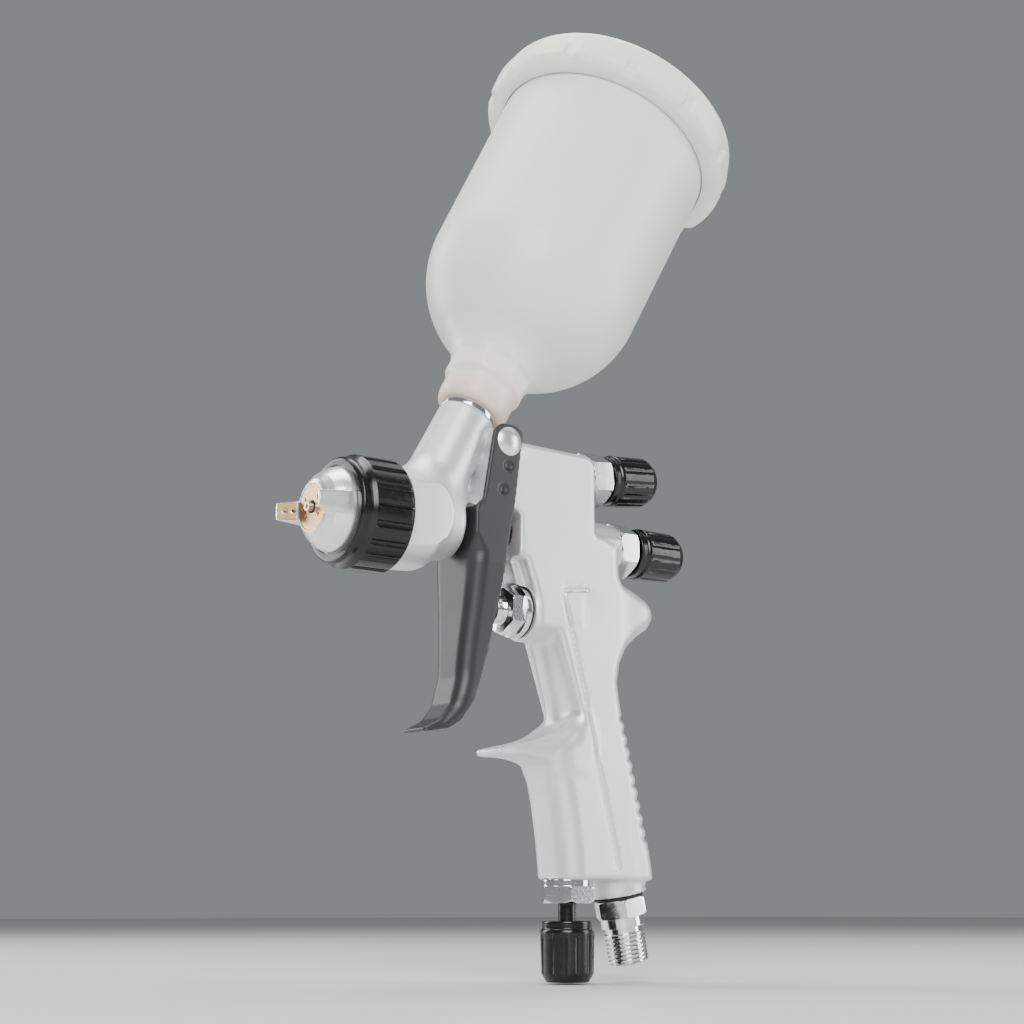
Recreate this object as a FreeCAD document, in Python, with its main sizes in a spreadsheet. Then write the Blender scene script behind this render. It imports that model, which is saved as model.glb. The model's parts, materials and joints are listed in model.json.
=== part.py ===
"""Small gravity-feed spray gun with a milky plastic cup, in millimetres.

The origin is the centre of the air inlet's threaded end. +Z is up, the gun sprays towards -X and
+Y is its left side. Pieces on the needle's axis are drawn by their station along +X from the
trigger's pivot, and pieces on another axis by their distance along that axis.
"""
import FreeCAD, Part
import math
import os
import Sketcher

doc = FreeCAD.newDocument("spray_gun")
sheet = doc.addObject("Spreadsheet::Sheet", "dims")

DIMENSIONS = [
    # alias, millimetres or degrees, meaning
    ("axis_height", 136.0, "needle axis above the inlet's end"),
    ("pivot_back", 58.0, "trigger pivot forward of the inlet's end"),
    ("pivot_up", 27.4, "trigger pivot above the needle axis"),
    ("valve_down", 24.6, "air valve axis below the needle axis"),
    ("fan_up", 22.4, "fan valve axis above the needle axis, at the rear face"),
    ("fan_tilt", 5.5, "fan valve axis tilted up to the rear, degrees"),
    ("fan_seat", 0.9, "face of the tilted boss that the fan control seats on, from the rear face"),
    ("cup_tilt", 28.8, "cup axis tilted back from upright, degrees"),
    ("cup_foot", -27.9, "station where the cup axis meets the needle axis"),
    ("inlet_tilt", 11.5, "inlet axis tilted back from straight down, degrees"),
    ("regulator_at", 32.3, "station of the air regulator's axis"),
    ("grip_foot", -109.5, "underside of the grip, below the needle axis"),
    ("half_width", 10.4, "half the casting's width"),
    ("nose_front", -39.0, "station of the casting's shoulder behind the ring"),
    ("thread_front", -53.0, "station of the casting's front end"),
    ("thread_size", 13.0, "radius of the casting's front thread"),
    ("ring_lip", -56.8, "station of the retaining ring's front face"),
    ("ring_size", 16.4, "radius of the retaining ring"),
    ("sleeve_size", 17.6, "radius over the ring grip's ribs"),
    ("cap_rim", 13.1, "radius of the air cap's rim"),
    ("cap_nose", -66.0, "station of the air cap's flat front"),
    ("horn_tip", -69.6, "station of the air horns' ends"),
    ("orifice", 0.7, "radius of the nozzle's orifice"),
    ("needle_size", 2.0, "radius of the needle"),
    ("running_gap", 0.05, "radial clearance of sliding fits"),
    ("rear_face", 37.2, "station of the upper block's rear face"),
    ("fluid_face", 49.5, "station of the lower block's rear face"),
    ("nut_flats", 16.0, "control nuts across flats"),
    ("knob_size", 8.7, "radius over the knobs' ribs"),
    ("knob_length", 15.2, "length of a control knob's ribs"),
    ("pin_size", 2.5, "radius of the trigger's pivot pin"),
    ("leg_inside", 10.9, "half the gap between the trigger's legs"),
    ("plate", 1.5, "trigger's sheet thickness"),
    ("adapter_size", 9.2, "radius of the cup adapter's collar"),
    ("boss_top", 41.5, "top of the cup boss along the cup axis"),
    ("cup_size", 36.0, "outer radius of the cup's round bottom"),
    ("cup_flare", 0.9, "outward taper of the cup from its round bottom to its rim"),
    ("cup_wall", 1.8, "cup wall"),
    ("cup_round", 98.5, "centre of the cup's round bottom along its axis"),
    ("cup_rim", 169.0, "rim of the cup along its axis"),
    ("lid_size", 42.6, "outer radius of the lid's skirt"),
    ("lid_foot", 157.0, "foot of the lid's skirt along the cup axis"),
    ("lid_top", 173.0, "top of the lid along the cup axis"),
    ("inlet_thread", 6.58, "radius of the G 1/4 inlet thread"),
    ("inlet_length", 10.0, "length of the inlet thread"),
]

for row, (alias, number, meaning) in enumerate(DIMENSIONS, start=1):
    sheet.set("A%d" % row, meaning)
    sheet.set("B%d" % row, str(number))
    sheet.setAlias("B%d" % row, alias)
doc.recompute()


def size(expression):
    """The value in millimetres or degrees of an expression on the sheet's cells."""
    result = sheet.evalExpression(str(expression))
    return float(getattr(result, "Value", result))


def cell(alias):
    """The value of one cell."""
    return size("dims." + alias)


def turn_about_y(degrees):
    """A rotation about +Y, which tips +Z towards +X."""
    return FreeCAD.Rotation(FreeCAD.Vector(0, 1, 0), degrees)


def on_gun(x, y, z, degrees=0):
    """The placement of a piece at a station, side and height of the needle axis."""
    base = FreeCAD.Vector(x - cell("pivot_back"), y, z + cell("axis_height"))
    return FreeCAD.Placement(base, turn_about_y(degrees))


def inlet_station(height):
    """The station of the inlet's axis at a height above the inlet's end."""
    return cell("pivot_back") - height * math.tan(math.radians(cell("inlet_tilt")))


CASTING_PLACE = on_gun(0, 0, 0)
NEEDLE_PLACE = on_gun(0, 0, 0, 90)
VALVE_PLACE = on_gun(0, 0, -cell("valve_down"), 90)
FAN_PLACE = on_gun(cell("rear_face"), 0, cell("fan_up"), 90 - cell("fan_tilt"))
CUP_PLACE = on_gun(cell("cup_foot"), 0, 0, cell("cup_tilt"))
REGULATOR_PLACE = on_gun(cell("regulator_at"), 0, cell("grip_foot"), 180)
INLET_PLACE = FreeCAD.Placement(FreeCAD.Vector(0, 0, 0), turn_about_y(180 - cell("inlet_tilt")))


# ---------------------------------------------------------------- drawing helpers

def origin_plane(body, role):
    """One of the body's own origin planes."""
    return [item for item in body.Origin.OriginFeatures if item.Role == role][0]


def new_sketch(body, role, lift="0"):
    """A sketch on an origin plane of the body, lifted along the plane's normal."""
    sketch = body.newObject("Sketcher::SketchObject", body.Name + "_sketch")
    sketch.AttachmentSupport = [(origin_plane(body, role), "")]
    sketch.MapMode = "FlatFace"
    sketch.AttachmentOffset = FreeCAD.Placement(FreeCAD.Vector(0, 0, size(lift)), FreeCAD.Rotation())
    sketch.setExpression("AttachmentOffset.Base.z", str(lift))
    return sketch


def bind(sketch, kind, index, point, expression):
    """Hold one coordinate of a sketch point at an expression."""
    place = sketch.addConstraint(Sketcher.Constraint(kind, -1, 1, index, point, size(expression)))
    sketch.setExpression("Constraints[%d]" % place, str(expression))


def draw_outline(sketch, outline):
    """A closed outline of straight lines, each corner held by two expressions."""
    first = sketch.GeometryCount
    corners = [FreeCAD.Vector(size(across), size(along), 0) for across, along in outline]
    count = len(corners)
    for number in range(count):
        line = Part.LineSegment(corners[number], corners[(number + 1) % count])
        sketch.addGeometry(line, False)
    for number, (across, along) in enumerate(outline):
        following = first + (number + 1) % count
        sketch.addConstraint(Sketcher.Constraint("Coincident", first + number, 2, following, 1))
        bind(sketch, "DistanceX", first + number, 1, across)
        bind(sketch, "DistanceY", first + number, 1, along)


def draw_circle(sketch, across, along, radius):
    """A circle with its centre and radius held by expressions."""
    centre = FreeCAD.Vector(size(across), size(along), 0)
    index = sketch.addGeometry(Part.Circle(centre, FreeCAD.Vector(0, 0, 1), size(radius)), False)
    bind(sketch, "DistanceX", index, 3, across)
    bind(sketch, "DistanceY", index, 3, along)
    place = sketch.addConstraint(Sketcher.Constraint("Radius", index, size(radius)))
    sketch.setExpression("Constraints[%d]" % place, str(radius))


def turned(name, outline):
    """A body turned about local Z from an outline of (radius, station) corners."""
    body = doc.addObject("PartDesign::Body", name)
    sketch = new_sketch(body, "XZ_Plane")
    draw_outline(sketch, outline)
    revolution = body.newObject("PartDesign::Revolution", name + "_turning")
    revolution.Profile = sketch
    revolution.ReferenceAxis = (sketch, ["V_Axis"])
    revolution.Angle = 360
    return body


def slab(name, outline, half_width):
    """A body padded from an outline of (station, height) corners, the same to both sides."""
    body = doc.addObject("PartDesign::Body", name)
    sketch = new_sketch(body, "XZ_Plane")
    draw_outline(sketch, outline)
    pad = body.newObject("PartDesign::Pad", name + "_pad")
    pad.Profile = sketch
    pad.Midplane = True
    pad.setExpression("Length", "2 * (%s)" % half_width)
    return body


def round_sides(body, radius):
    """Round the edges all round a slab's two flat sides."""
    doc.recompute()
    pad = body.Tip
    sides = ["Face%d" % number for number, face in enumerate(pad.Shape.Faces, start=1)
             if abs(face.normalAt(0, 0).y) > 0.9]
    fillet = body.newObject("PartDesign::Fillet", body.Name + "_rounding")
    fillet.Base = (pad, sides)
    fillet.setExpression("Radius", str(radius))
    return body


def pocket_up(body, name, sketch, length):
    """A pocket that cuts from the sketch along +Z, with the volume it must take away checked."""
    doc.recompute()
    before = body.Shape.Volume
    pocket = body.newObject("PartDesign::Pocket", name)
    pocket.Profile = sketch
    pocket.Reversed = True
    pocket.setExpression("Length", str(length))
    doc.recompute()
    if body.Shape.Volume >= before:
        raise RuntimeError(name + " cuts nothing")
    return pocket


def mill_hexagon(body, flats, start, length):
    """Mill a turned blank down to a hexagon between two stations."""
    sketch = new_sketch(body, "XY_Plane", start)
    corners = []
    for number in range(6):
        angle = math.radians(60 * number)
        corners.append(("(%s) / 2 / cos(30) * %.6f" % (flats, math.cos(angle)),
                        "(%s) / 2 / cos(30) * %.6f" % (flats, math.sin(angle))))
    draw_outline(sketch, corners)
    draw_circle(sketch, "0", "0", "(%s) * 1.5" % flats)
    pocket_up(body, body.Name + "_hexagon", sketch, length)


def cut_flutes(body, count, centre, radius, start, length):
    """Cut one round flute at a distance from the axis and repeat it about the axis."""
    sketch = new_sketch(body, "XY_Plane", start)
    draw_circle(sketch, centre, "0", radius)
    pocket = pocket_up(body, body.Name + "_flute", sketch, length)
    pattern = body.newObject("PartDesign::PolarPattern", body.Name + "_flutes")
    pattern.Originals = [pocket]
    pattern.Axis = (sketch, ["N_Axis"])
    pattern.Angle = 360
    pattern.Occurrences = count
    body.Tip = pattern


def cylinder(name, radius, length, place):
    """A Part cylinder with bound sizes, at a placement in its parent's own axes."""
    item = doc.addObject("Part::Cylinder", name)
    item.setExpression("Radius", str(radius))
    item.setExpression("Height", str(length))
    item.Placement = place
    return item


def box(name, low, high):
    """A Part box between two corners given as expressions."""
    item = doc.addObject("Part::Box", name)
    for axis, side, lower, upper in zip("xyz", ("Length", "Width", "Height"), low, high):
        item.setExpression("Placement.Base." + axis, str(lower))
        item.setExpression(side, "(%s) - (%s)" % (upper, lower))
    return item


def fuse(name, items):
    """One solid from several."""
    item = doc.addObject("Part::MultiFuse", name)
    item.Shapes = items
    item.Refine = True
    return item


def cut(name, base, tool):
    """A solid with another taken away."""
    item = doc.addObject("Part::Cut", name)
    item.Base = base
    item.Tool = tool
    item.Refine = True
    return item


def local(x, y, z, rotation=None):
    """A placement in the parent's own axes."""
    return FreeCAD.Placement(FreeCAD.Vector(x, y, z), rotation or FreeCAD.Rotation())


FACING_X = FreeCAD.Rotation(FreeCAD.Vector(0, 1, 0), 90)
FACING_Y = FreeCAD.Rotation(FreeCAD.Vector(1, 0, 0), -90)

subparts = []


def keep(item, label, place):
    """Name a finished sub-part and put it in its place on the gun."""
    item.Label = label
    item.Placement = place
    subparts.append(item)
    return item


def coil_line(label, coil_radius, length, turns):
    """A spring's centre line: one smooth curve through eight points of each turn of a helix."""
    steps = 8 * turns
    points = [FreeCAD.Vector(coil_radius * math.cos(math.tau * step / 8),
                             coil_radius * math.sin(math.tau * step / 8), length * step / steps)
              for step in range(steps + 1)]
    curve = Part.BSplineCurve()
    curve.interpolate(points)
    line = doc.addObject("Part::Feature", label + "_line")
    line.Shape = curve.toShape()
    return line


def spring(label, place, coil_radius, wire, start, length, turns):
    """A round-wire compression spring along local Z."""
    section = doc.addObject("Part::Circle", label + "_wire")
    section.setExpression("Radius", str(wire))
    section.Placement = local(size(coil_radius), 0, 0, FreeCAD.Rotation(FreeCAD.Vector(1, 0, 0), 90))
    sweep = doc.addObject("Part::Sweep", label)
    sweep.Sections = [section]
    sweep.Spine = (coil_line(label, size(coil_radius), size(length), turns), ["Edge1"])
    sweep.Solid = True
    sweep.Frenet = True
    lifted = place.multiply(local(0, 0, size(start)))
    return keep(sweep, label, lifted)


# ---------------------------------------------------------------- the casting

def casting_outside():
    """The casting's solid masses: nose, cup boss, blocks, grip, finger rest and bosses."""
    nose = turned("nose", [
        ("0", "dims.thread_front"), ("dims.thread_size", "dims.thread_front"),
        ("dims.thread_size", "dims.nose_front"), ("dims.ring_size - 0.3", "dims.nose_front"),
        ("dims.ring_size - 1.2", "dims.nose_front + 11"), ("12.4", "dims.nose_front + 17"),
        ("10.2", "dims.nose_front + 24"), ("9.4", "dims.nose_front + 44"),
        ("0", "dims.nose_front + 44")])
    nose.Placement = local(0, 0, 0, FACING_X)
    boss = turned("cup_boss", [
        ("0", "0"), ("dims.adapter_size + 1.1", "0"), ("dims.adapter_size + 0.1", "dims.boss_top"),
        ("0", "dims.boss_top")])
    boss.Placement = local(cell("cup_foot"), 0, 0, turn_about_y(cell("cup_tilt")))
    pivot_boss = cylinder("pivot_boss", "5.4", "2 * dims.half_width",
                          local(0, -cell("half_width"), cell("pivot_up"), FACING_Y))
    upper = round_sides(slab("upper_block", [
        ("-16", "-9"), ("-16", "12"), ("-9", "20"), ("-4", "dims.pivot_up + 0.6"),
        ("4", "dims.pivot_up + 1.4"), ("dims.rear_face", "dims.pivot_up + 0.6"),
        ("dims.rear_face", "-13"), ("6.5", "-13"), ("3", "-11")], "dims.half_width"), "4")
    lower = round_sides(slab("lower_block", [
        ("20", "8.4"), ("dims.fluid_face", "8.4"), ("dims.fluid_face", "-31"), ("20", "-31")],
        "8.4"), "5")
    tail = round_sides(slab("tail", [
        ("40", "-12.4"), ("50", "-13"), ("64", "-16.4"), ("66", "-19.6"), ("65", "-25"),
        ("50", "-34"), ("40", "-34")], "7"), "3")
    waist = slab("waist", [
        ("5.5", "-9"), ("13", "-9"), ("16", "-24"), ("12.5", "-24"), ("7.5", "-15")], "5.6")
    grip = round_sides(slab("grip", [
        ("8.4", "-9"), ("46", "-9"), ("48.6", "-30"), ("47.4", "-40"), ("54", "-72"),
        ("60.8", "-101"), ("62.4", "dims.grip_foot"), ("26", "dims.grip_foot"), ("22.4", "-86"),
        ("19", "-72.5"), ("33.4", "-68"), ("32", "-62"), ("24.6", "-31.5"), ("14.2", "-31.5"),
        ("13.4", "-22")], "dims.half_width"), "4.5")
    front = slab("finger_side", [
        ("14", "-31"), ("27", "-31"), ("35", "-68"), ("25", "-68"), ("26", "-61"), ("20.4", "-34")],
        "6")
    rest = slab("finger_rest", [
        ("0.6", "-68.4"), ("9", "-66.6"), ("19", "-64.6"), ("25.5", "-60"), ("34", "-60"),
        ("34", "-72"), ("16", "-71.2"), ("8.5", "-70.3"), ("0.6", "-71")], "6.4")
    valve_boss = turned("valve_boss", [
        ("0", "13"), ("8.9", "13"), ("9.6", "30"), ("0", "30")])
    valve_boss.Placement = local(0, 0, -cell("valve_down"), FACING_X)
    fan_boss = turned("fan_boss", [
        ("0", "-12"), ("8.4", "-12"), ("8.4", "dims.fan_seat"), ("0", "dims.fan_seat")])
    fan_boss.Placement = local(cell("rear_face"), 0, cell("fan_up"), turn_about_y(90 - cell("fan_tilt")))
    inlet_boss = cylinder("inlet_boss", "9", "16", local(
        inlet_station(22), 0, 22 - cell("axis_height"), turn_about_y(-cell("inlet_tilt"))))
    return fuse("casting_outside", [nose, boss, pivot_boss, upper, lower, tail, waist, grip, front,
                                    rest, valve_boss, fan_boss, inlet_boss])


def casting_hollows():
    """The casting's bores, air passages and the window for the trigger's fork."""
    needle_way = turned("needle_way", [
        ("0", "dims.thread_front - 1"), ("6.1", "dims.thread_front - 1"), ("6.1", "-36"),
        ("4.6", "-36"), ("4.6", "-21"), ("3.4", "-21"), ("3.4", "-10"), ("5.2", "-10"),
        ("5.2", "38"), ("6.6", "38"), ("6.6", "dims.fluid_face + 1"), ("0", "dims.fluid_face + 1")])
    needle_way.Placement = local(0, 0, 0, FACING_X)
    head_air = cut("head_air",
                   cylinder("head_air_outer", "10.8", "5", local(cell("thread_front") - 1, 0, 0, FACING_X)),
                   cylinder("head_air_inner", "9", "5", local(cell("thread_front") - 1, 0, 0, FACING_X)))
    cup_way = turned("cup_way", [
        ("0", "0"), ("4.4", "0"), ("4.4", "27"), ("6.6", "27"), ("6.6", "dims.boss_top"),
        ("dims.adapter_size + 0.1", "dims.boss_top"),
        ("dims.adapter_size + 0.1", "dims.boss_top + 3"), ("0", "dims.boss_top + 3")])
    cup_way.Placement = local(cell("cup_foot"), 0, 0, turn_about_y(cell("cup_tilt")))
    window = slab("window", [
        ("-14.4", "-9"), ("-13", "-14"), ("-13", "-18"), ("0", "-18"), ("0", "-12"), ("3", "-10.6"),
        ("5.4", "-8"), ("5.4", "4"), ("3", "6.6"), ("-12", "6.6"), ("-14.4", "4")], "20")
    valve_way = turned("valve_way", [
        ("0", "0"), ("9.2", "0"), ("9.2", "13"), ("6.6", "13"), ("6.6", "24"), ("5.6", "24"),
        ("5.6", "36"), ("0", "36")])
    valve_way.Placement = local(0, 0, -cell("valve_down"), FACING_X)
    fan_way = turned("fan_way", [
        ("0", "-26"), ("6", "-26"), ("6", "-12"), ("6.6", "-12"), ("6.6", "2"), ("0", "2")])
    fan_way.Placement = local(cell("rear_face"), 0, cell("fan_up"), turn_about_y(90 - cell("fan_tilt")))
    pin_way = cylinder("pin_way", "dims.pin_size", "2 * dims.half_width + 2",
                       local(0, -cell("half_width") - 1, cell("pivot_up"), FACING_Y))
    passages = []
    for side in (-1, 1):
        passages.append(cylinder("long_passage", "1.4", "70",
                                 local(cell("thread_front") - 1, side * 7.6, 8.2, FACING_X)))
        passages.append(cylinder("riser", "1.6", "40", local(16, side * 7.0, -20)))
    inlet_way = cylinder("inlet_way", "4.4", "100", local(
        inlet_station(16), 0, 16 - cell("axis_height"), turn_about_y(-cell("inlet_tilt"))))
    inlet_seat = cylinder("inlet_seat", "6.1", "22", local(
        inlet_station(14), 0, 14 - cell("axis_height"), turn_about_y(-cell("inlet_tilt"))))
    regulator_way = turned("regulator_way", [
        ("0", "-27"), ("3.4", "-27"), ("3.4", "-12"), ("6.6", "-12"), ("6.6", "2"), ("0", "2")])
    regulator_way.Placement = local(cell("regulator_at"), 0, cell("grip_foot"), turn_about_y(180))
    crossing = cylinder("crossing", "2.6", "14",
                        local(cell("regulator_at"), 0, cell("grip_foot") + 19, FACING_X))
    return fuse("casting_hollows", [needle_way, head_air, cup_way, window, valve_way, fan_way, pin_way,
                                    inlet_way, inlet_seat, regulator_way, crossing] + passages)


keep(cut("gun_casting", casting_outside(), casting_hollows()), "gun_body", CASTING_PLACE)


# ---------------------------------------------------------------- the spray head

def make_spray_head():
    """Nozzle, baffle, air cap, its washer, the retaining ring and the ring's black grip."""
    nozzle = turned("fluid_nozzle", [
        ("dims.orifice", "-66.4"), ("1.5", "-66.4"), ("1.5", "-63.8"), ("3.4", "-59.6"),
        ("3.4", "-57"), ("7.6", "-57"), ("7.6", "dims.thread_front"), ("6", "dims.thread_front"),
        ("6", "-36.2"), ("3", "-36.2"), ("3", "-57"), ("dims.orifice", "-64.6")])
    mill_hexagon(nozzle, "13", "-58", "58 + dims.thread_front")
    keep(nozzle, "fluid_nozzle", NEEDLE_PLACE)

    baffle = turned("air_baffle", [
        ("8.2", "dims.thread_front - 2.2"), ("11.3", "dims.thread_front - 2.2"),
        ("11.3", "dims.thread_front"), ("8.2", "dims.thread_front")])
    cut_flutes(baffle, 12, "9.9", "0.7", "dims.thread_front - 3", "4")
    keep(baffle, "air_baffle", NEEDLE_PLACE)

    blank = turned("cap_blank", [
        ("1.9", "dims.cap_nose"), ("5.2", "dims.cap_nose"), ("dims.cap_rim - 0.6", "-57.6"),
        ("dims.cap_rim", "-57"), ("dims.cap_rim", "-55.9"), ("dims.cap_rim + 1.3", "-55.9"),
        ("dims.cap_rim + 1.3", "-54.7"), ("11.6", "-54.7"), ("11.6", "-57"), ("4.2", "-61.8"),
        ("4.2", "-64.2"), ("1.9", "-64.2")])
    blank.Placement = local(0, 0, 0, FACING_X)
    horns = doc.addObject("Part::MultiCommon", "cap_horns")
    horns.Shapes = [
        cylinder("horn_round", "dims.cap_rim - 0.5", "12.4", local(cell("horn_tip"), 0, 0, FACING_X)),
        fuse("horn_pair", [
            box("horn_near", ("dims.horn_tip", "-14", "-2.5"), ("-57.4", "-8", "2.5")),
            box("horn_far", ("dims.horn_tip", "8", "-2.5"), ("-57.4", "14", "2.5"))])]
    drills = []
    for side in (-1, 1):
        for station in (-68, -65.8):
            drills.append(cylinder("horn_drill", "0.45", "4", local(
                station, side * 7.2 - 2, 0, FACING_Y)))
        for height in (-2.9, 2.9):
            drills.append(cylinder("side_drill", "0.4", "6", local(-67, side * 2.4, height, FACING_X)))
    cap = cut("cap_drilled", fuse("cap_solid", [blank, horns]), fuse("cap_drills", drills))
    keep(cap, "air_cap", CASTING_PLACE)

    washer = turned("cap_washer", [
        ("11.8", "-54.6"), ("dims.thread_size - 0.2", "-54.6"),
        ("dims.thread_size - 0.2", "-53.4"), ("11.8", "-53.4")])
    keep(washer, "cap_washer", NEEDLE_PLACE)

    ring = turned("retaining_ring", [
        ("dims.cap_rim + 0.3", "dims.ring_lip"), ("dims.ring_size - 0.5", "dims.ring_lip"),
        ("dims.ring_size", "dims.ring_lip + 0.5"), ("dims.ring_size", "-54.6"),
        ("dims.ring_size - 0.6", "-54.6"), ("dims.ring_size - 0.6", "dims.nose_front - 0.3"),
        ("dims.thread_size + 0.05", "dims.nose_front - 0.3"), ("dims.thread_size + 0.05", "-53.6"),
        ("dims.cap_rim + 1.6", "-53.6"), ("dims.cap_rim + 1.6", "-56"),
        ("dims.cap_rim + 0.3", "-56")])
    keep(ring, "retaining_ring", NEEDLE_PLACE)

    sleeve = turned("ring_grip", [
        ("dims.ring_size - 0.6", "-54.5"), ("dims.sleeve_size - 0.8", "-54.5"),
        ("dims.sleeve_size - 0.8", "-53"), ("dims.sleeve_size - 0.3", "-52.4"),
        ("dims.sleeve_size", "-51.8"), ("dims.sleeve_size", "-39.6"),
        ("dims.sleeve_size - 0.7", "dims.nose_front + 0.5"), ("dims.ring_size - 0.1", "dims.nose_front + 0.5"),
        ("dims.ring_size - 0.1", "dims.nose_front - 0.3"), ("dims.ring_size - 0.6", "dims.nose_front - 0.3")])
    cut_flutes(sleeve, 18, "dims.sleeve_size + 0.5", "1.15", "-51.4", "11.4")
    keep(sleeve, "ring_grip", NEEDLE_PLACE)


make_spray_head()


# ---------------------------------------------------------------- needle and fluid control

def make_needle_train():
    """Needle with its collar, packing, packing screw, spring, spring seat and fluid control."""
    needle = turned("fluid_needle", [
        ("0", "-66.8"), ("0.25", "-66.6"), ("0.62", "-64.9"), ("1.2", "-61"), ("1.2", "-44"),
        ("dims.needle_size", "-42"), ("dims.needle_size", "24"), ("1.6", "30"), ("0", "30")])
    keep(needle, "fluid_needle", NEEDLE_PLACE)

    collar = turned("needle_collar", [
        ("dims.needle_size", "-9.9"), ("4.4", "-9.9"), ("4.8", "-9.5"), ("4.8", "-7.6"),
        ("3.4", "-7"), ("3.4", "-3.4"), ("dims.needle_size", "-3.4")])
    keep(collar, "needle_collar", NEEDLE_PLACE)

    packing = turned("needle_packing", [
        ("dims.needle_size + dims.running_gap", "-20.8"), ("3.35", "-20.8"), ("3.35", "-18"),
        ("dims.needle_size + dims.running_gap", "-18")])
    keep(packing, "needle_packing", NEEDLE_PLACE)

    screw = turned("packing_screw", [
        ("dims.needle_size + dims.running_gap", "-17.9"), ("3.35", "-17.9"), ("3.35", "-14.3"),
        ("4", "-14.3"), ("4", "-13"), ("dims.needle_size + dims.running_gap", "-13")])
    keep(screw, "packing_screw", NEEDLE_PLACE)

    seat = turned("spring_seat", [
        ("2.6", "36.6"), ("4.9", "36.6"), ("4.9", "38.2"), ("2.6", "38.2")])
    keep(seat, "spring_seat", NEEDLE_PLACE)

    pusher = turned("spring_pusher", [
        ("dims.needle_size", "13"), ("4.9", "13"), ("4.9", "14.6"), ("3", "14.6"), ("3", "18"),
        ("dims.needle_size", "18")])
    keep(pusher, "spring_pusher", NEEDLE_PLACE)

    spring("needle_spring", NEEDLE_PLACE, "4", "0.45", "15.15", "20.9", 7)

    bushing = turned("fluid_bushing", [
        ("3.4", "43"), ("6.5", "43"), ("6.5", "dims.fluid_face"), ("8.2", "dims.fluid_face"),
        ("8.2", "dims.fluid_face + 0.8"), ("8.9", "dims.fluid_face + 0.8"),
        ("9.2", "dims.fluid_face + 1.2"), ("9.2", "dims.fluid_face + 7.2"),
        ("8", "dims.fluid_face + 8"), ("5", "dims.fluid_face + 8"), ("5", "dims.fluid_face + 9"),
        ("3.4", "dims.fluid_face + 9")])
    mill_hexagon(bushing, "dims.nut_flats", "dims.fluid_face + 0.8", "7.4")
    keep(bushing, "fluid_bushing", NEEDLE_PLACE)

    stem = turned("fluid_screw", [
        ("2.3", "38.4"), ("3.35", "38.4"), ("3.35", "dims.fluid_face + 4.6 + dims.knob_length"),
        ("0", "dims.fluid_face + 4.6 + dims.knob_length"), ("0", "dims.fluid_face + 6"),
        ("2.3", "dims.fluid_face + 6")])
    keep(stem, "fluid_screw", NEEDLE_PLACE)
    make_knob("fluid_knob", NEEDLE_PLACE, "dims.fluid_face + 9.6", "5.4")


def make_knob(label, place, start, bore):
    """A black ribbed knob on its stem: open collar, ribbed barrel and chamfered closed end."""
    knob = turned(label, [
        (bore, start), ("7.2", start), ("7.4", "%s + 0.3" % start), ("7.4", "%s + 3.2" % start),
        ("8.1", "%s + 3.5" % start), ("dims.knob_size", "%s + 4.2" % start),
        ("dims.knob_size", "%s + dims.knob_length + 1.6" % start),
        ("7.2", "%s + dims.knob_length + 4.2" % start), ("0", "%s + dims.knob_length + 4.2" % start),
        ("0", "%s + dims.knob_length - 5" % start), ("3.4", "%s + dims.knob_length - 5" % start),
        ("3.4", "%s + 4" % start), (bore, "%s + 4" % start)])
    cut_flutes(knob, 12, "dims.knob_size + 0.6", "1.3", "%s + 3" % start, "dims.knob_length - 0.2")
    return keep(knob, label, place)


make_needle_train()


# ---------------------------------------------------------------- fan control

def make_fan_control():
    """Hexagonal bushing, spindle with its air cone, O-ring and knob, on the tilted upper axis."""
    bushing = turned("fan_bushing", [
        ("3.4", "-11.6"), ("6.5", "-11.6"), ("6.5", "dims.fan_seat"), ("8.2", "dims.fan_seat"), ("8.2", "1.4"),
        ("9.2", "1.8"), ("9.2", "8.6"), ("8", "9.4"), ("5", "9.4"), ("5", "10.2"), ("3.4", "10.2")])
    mill_hexagon(bushing, "dims.nut_flats", "1.4", "8.2")
    keep(bushing, "fan_bushing", FAN_PLACE)

    spindle = turned("fan_spindle", [
        ("0", "-24"), ("1", "-24"), ("3.2", "-18"), ("3.2", "-15.4"), ("1.6", "-15.4"),
        ("1.6", "-13.4"), ("3.35", "-13.4"), ("3.35", "5.6 + dims.knob_length"),
        ("0", "5.6 + dims.knob_length")])
    keep(spindle, "fan_spindle", FAN_PLACE)

    seal = turned("fan_seal", [
        ("1.65", "-15.3"), ("2.9", "-15.3"), ("2.9", "-13.5"), ("1.65", "-13.5")])
    keep(seal, "fan_seal", FAN_PLACE)
    make_knob("fan_knob", FAN_PLACE, "10.6", "5.4")


make_fan_control()


# ---------------------------------------------------------------- air regulator

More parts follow.
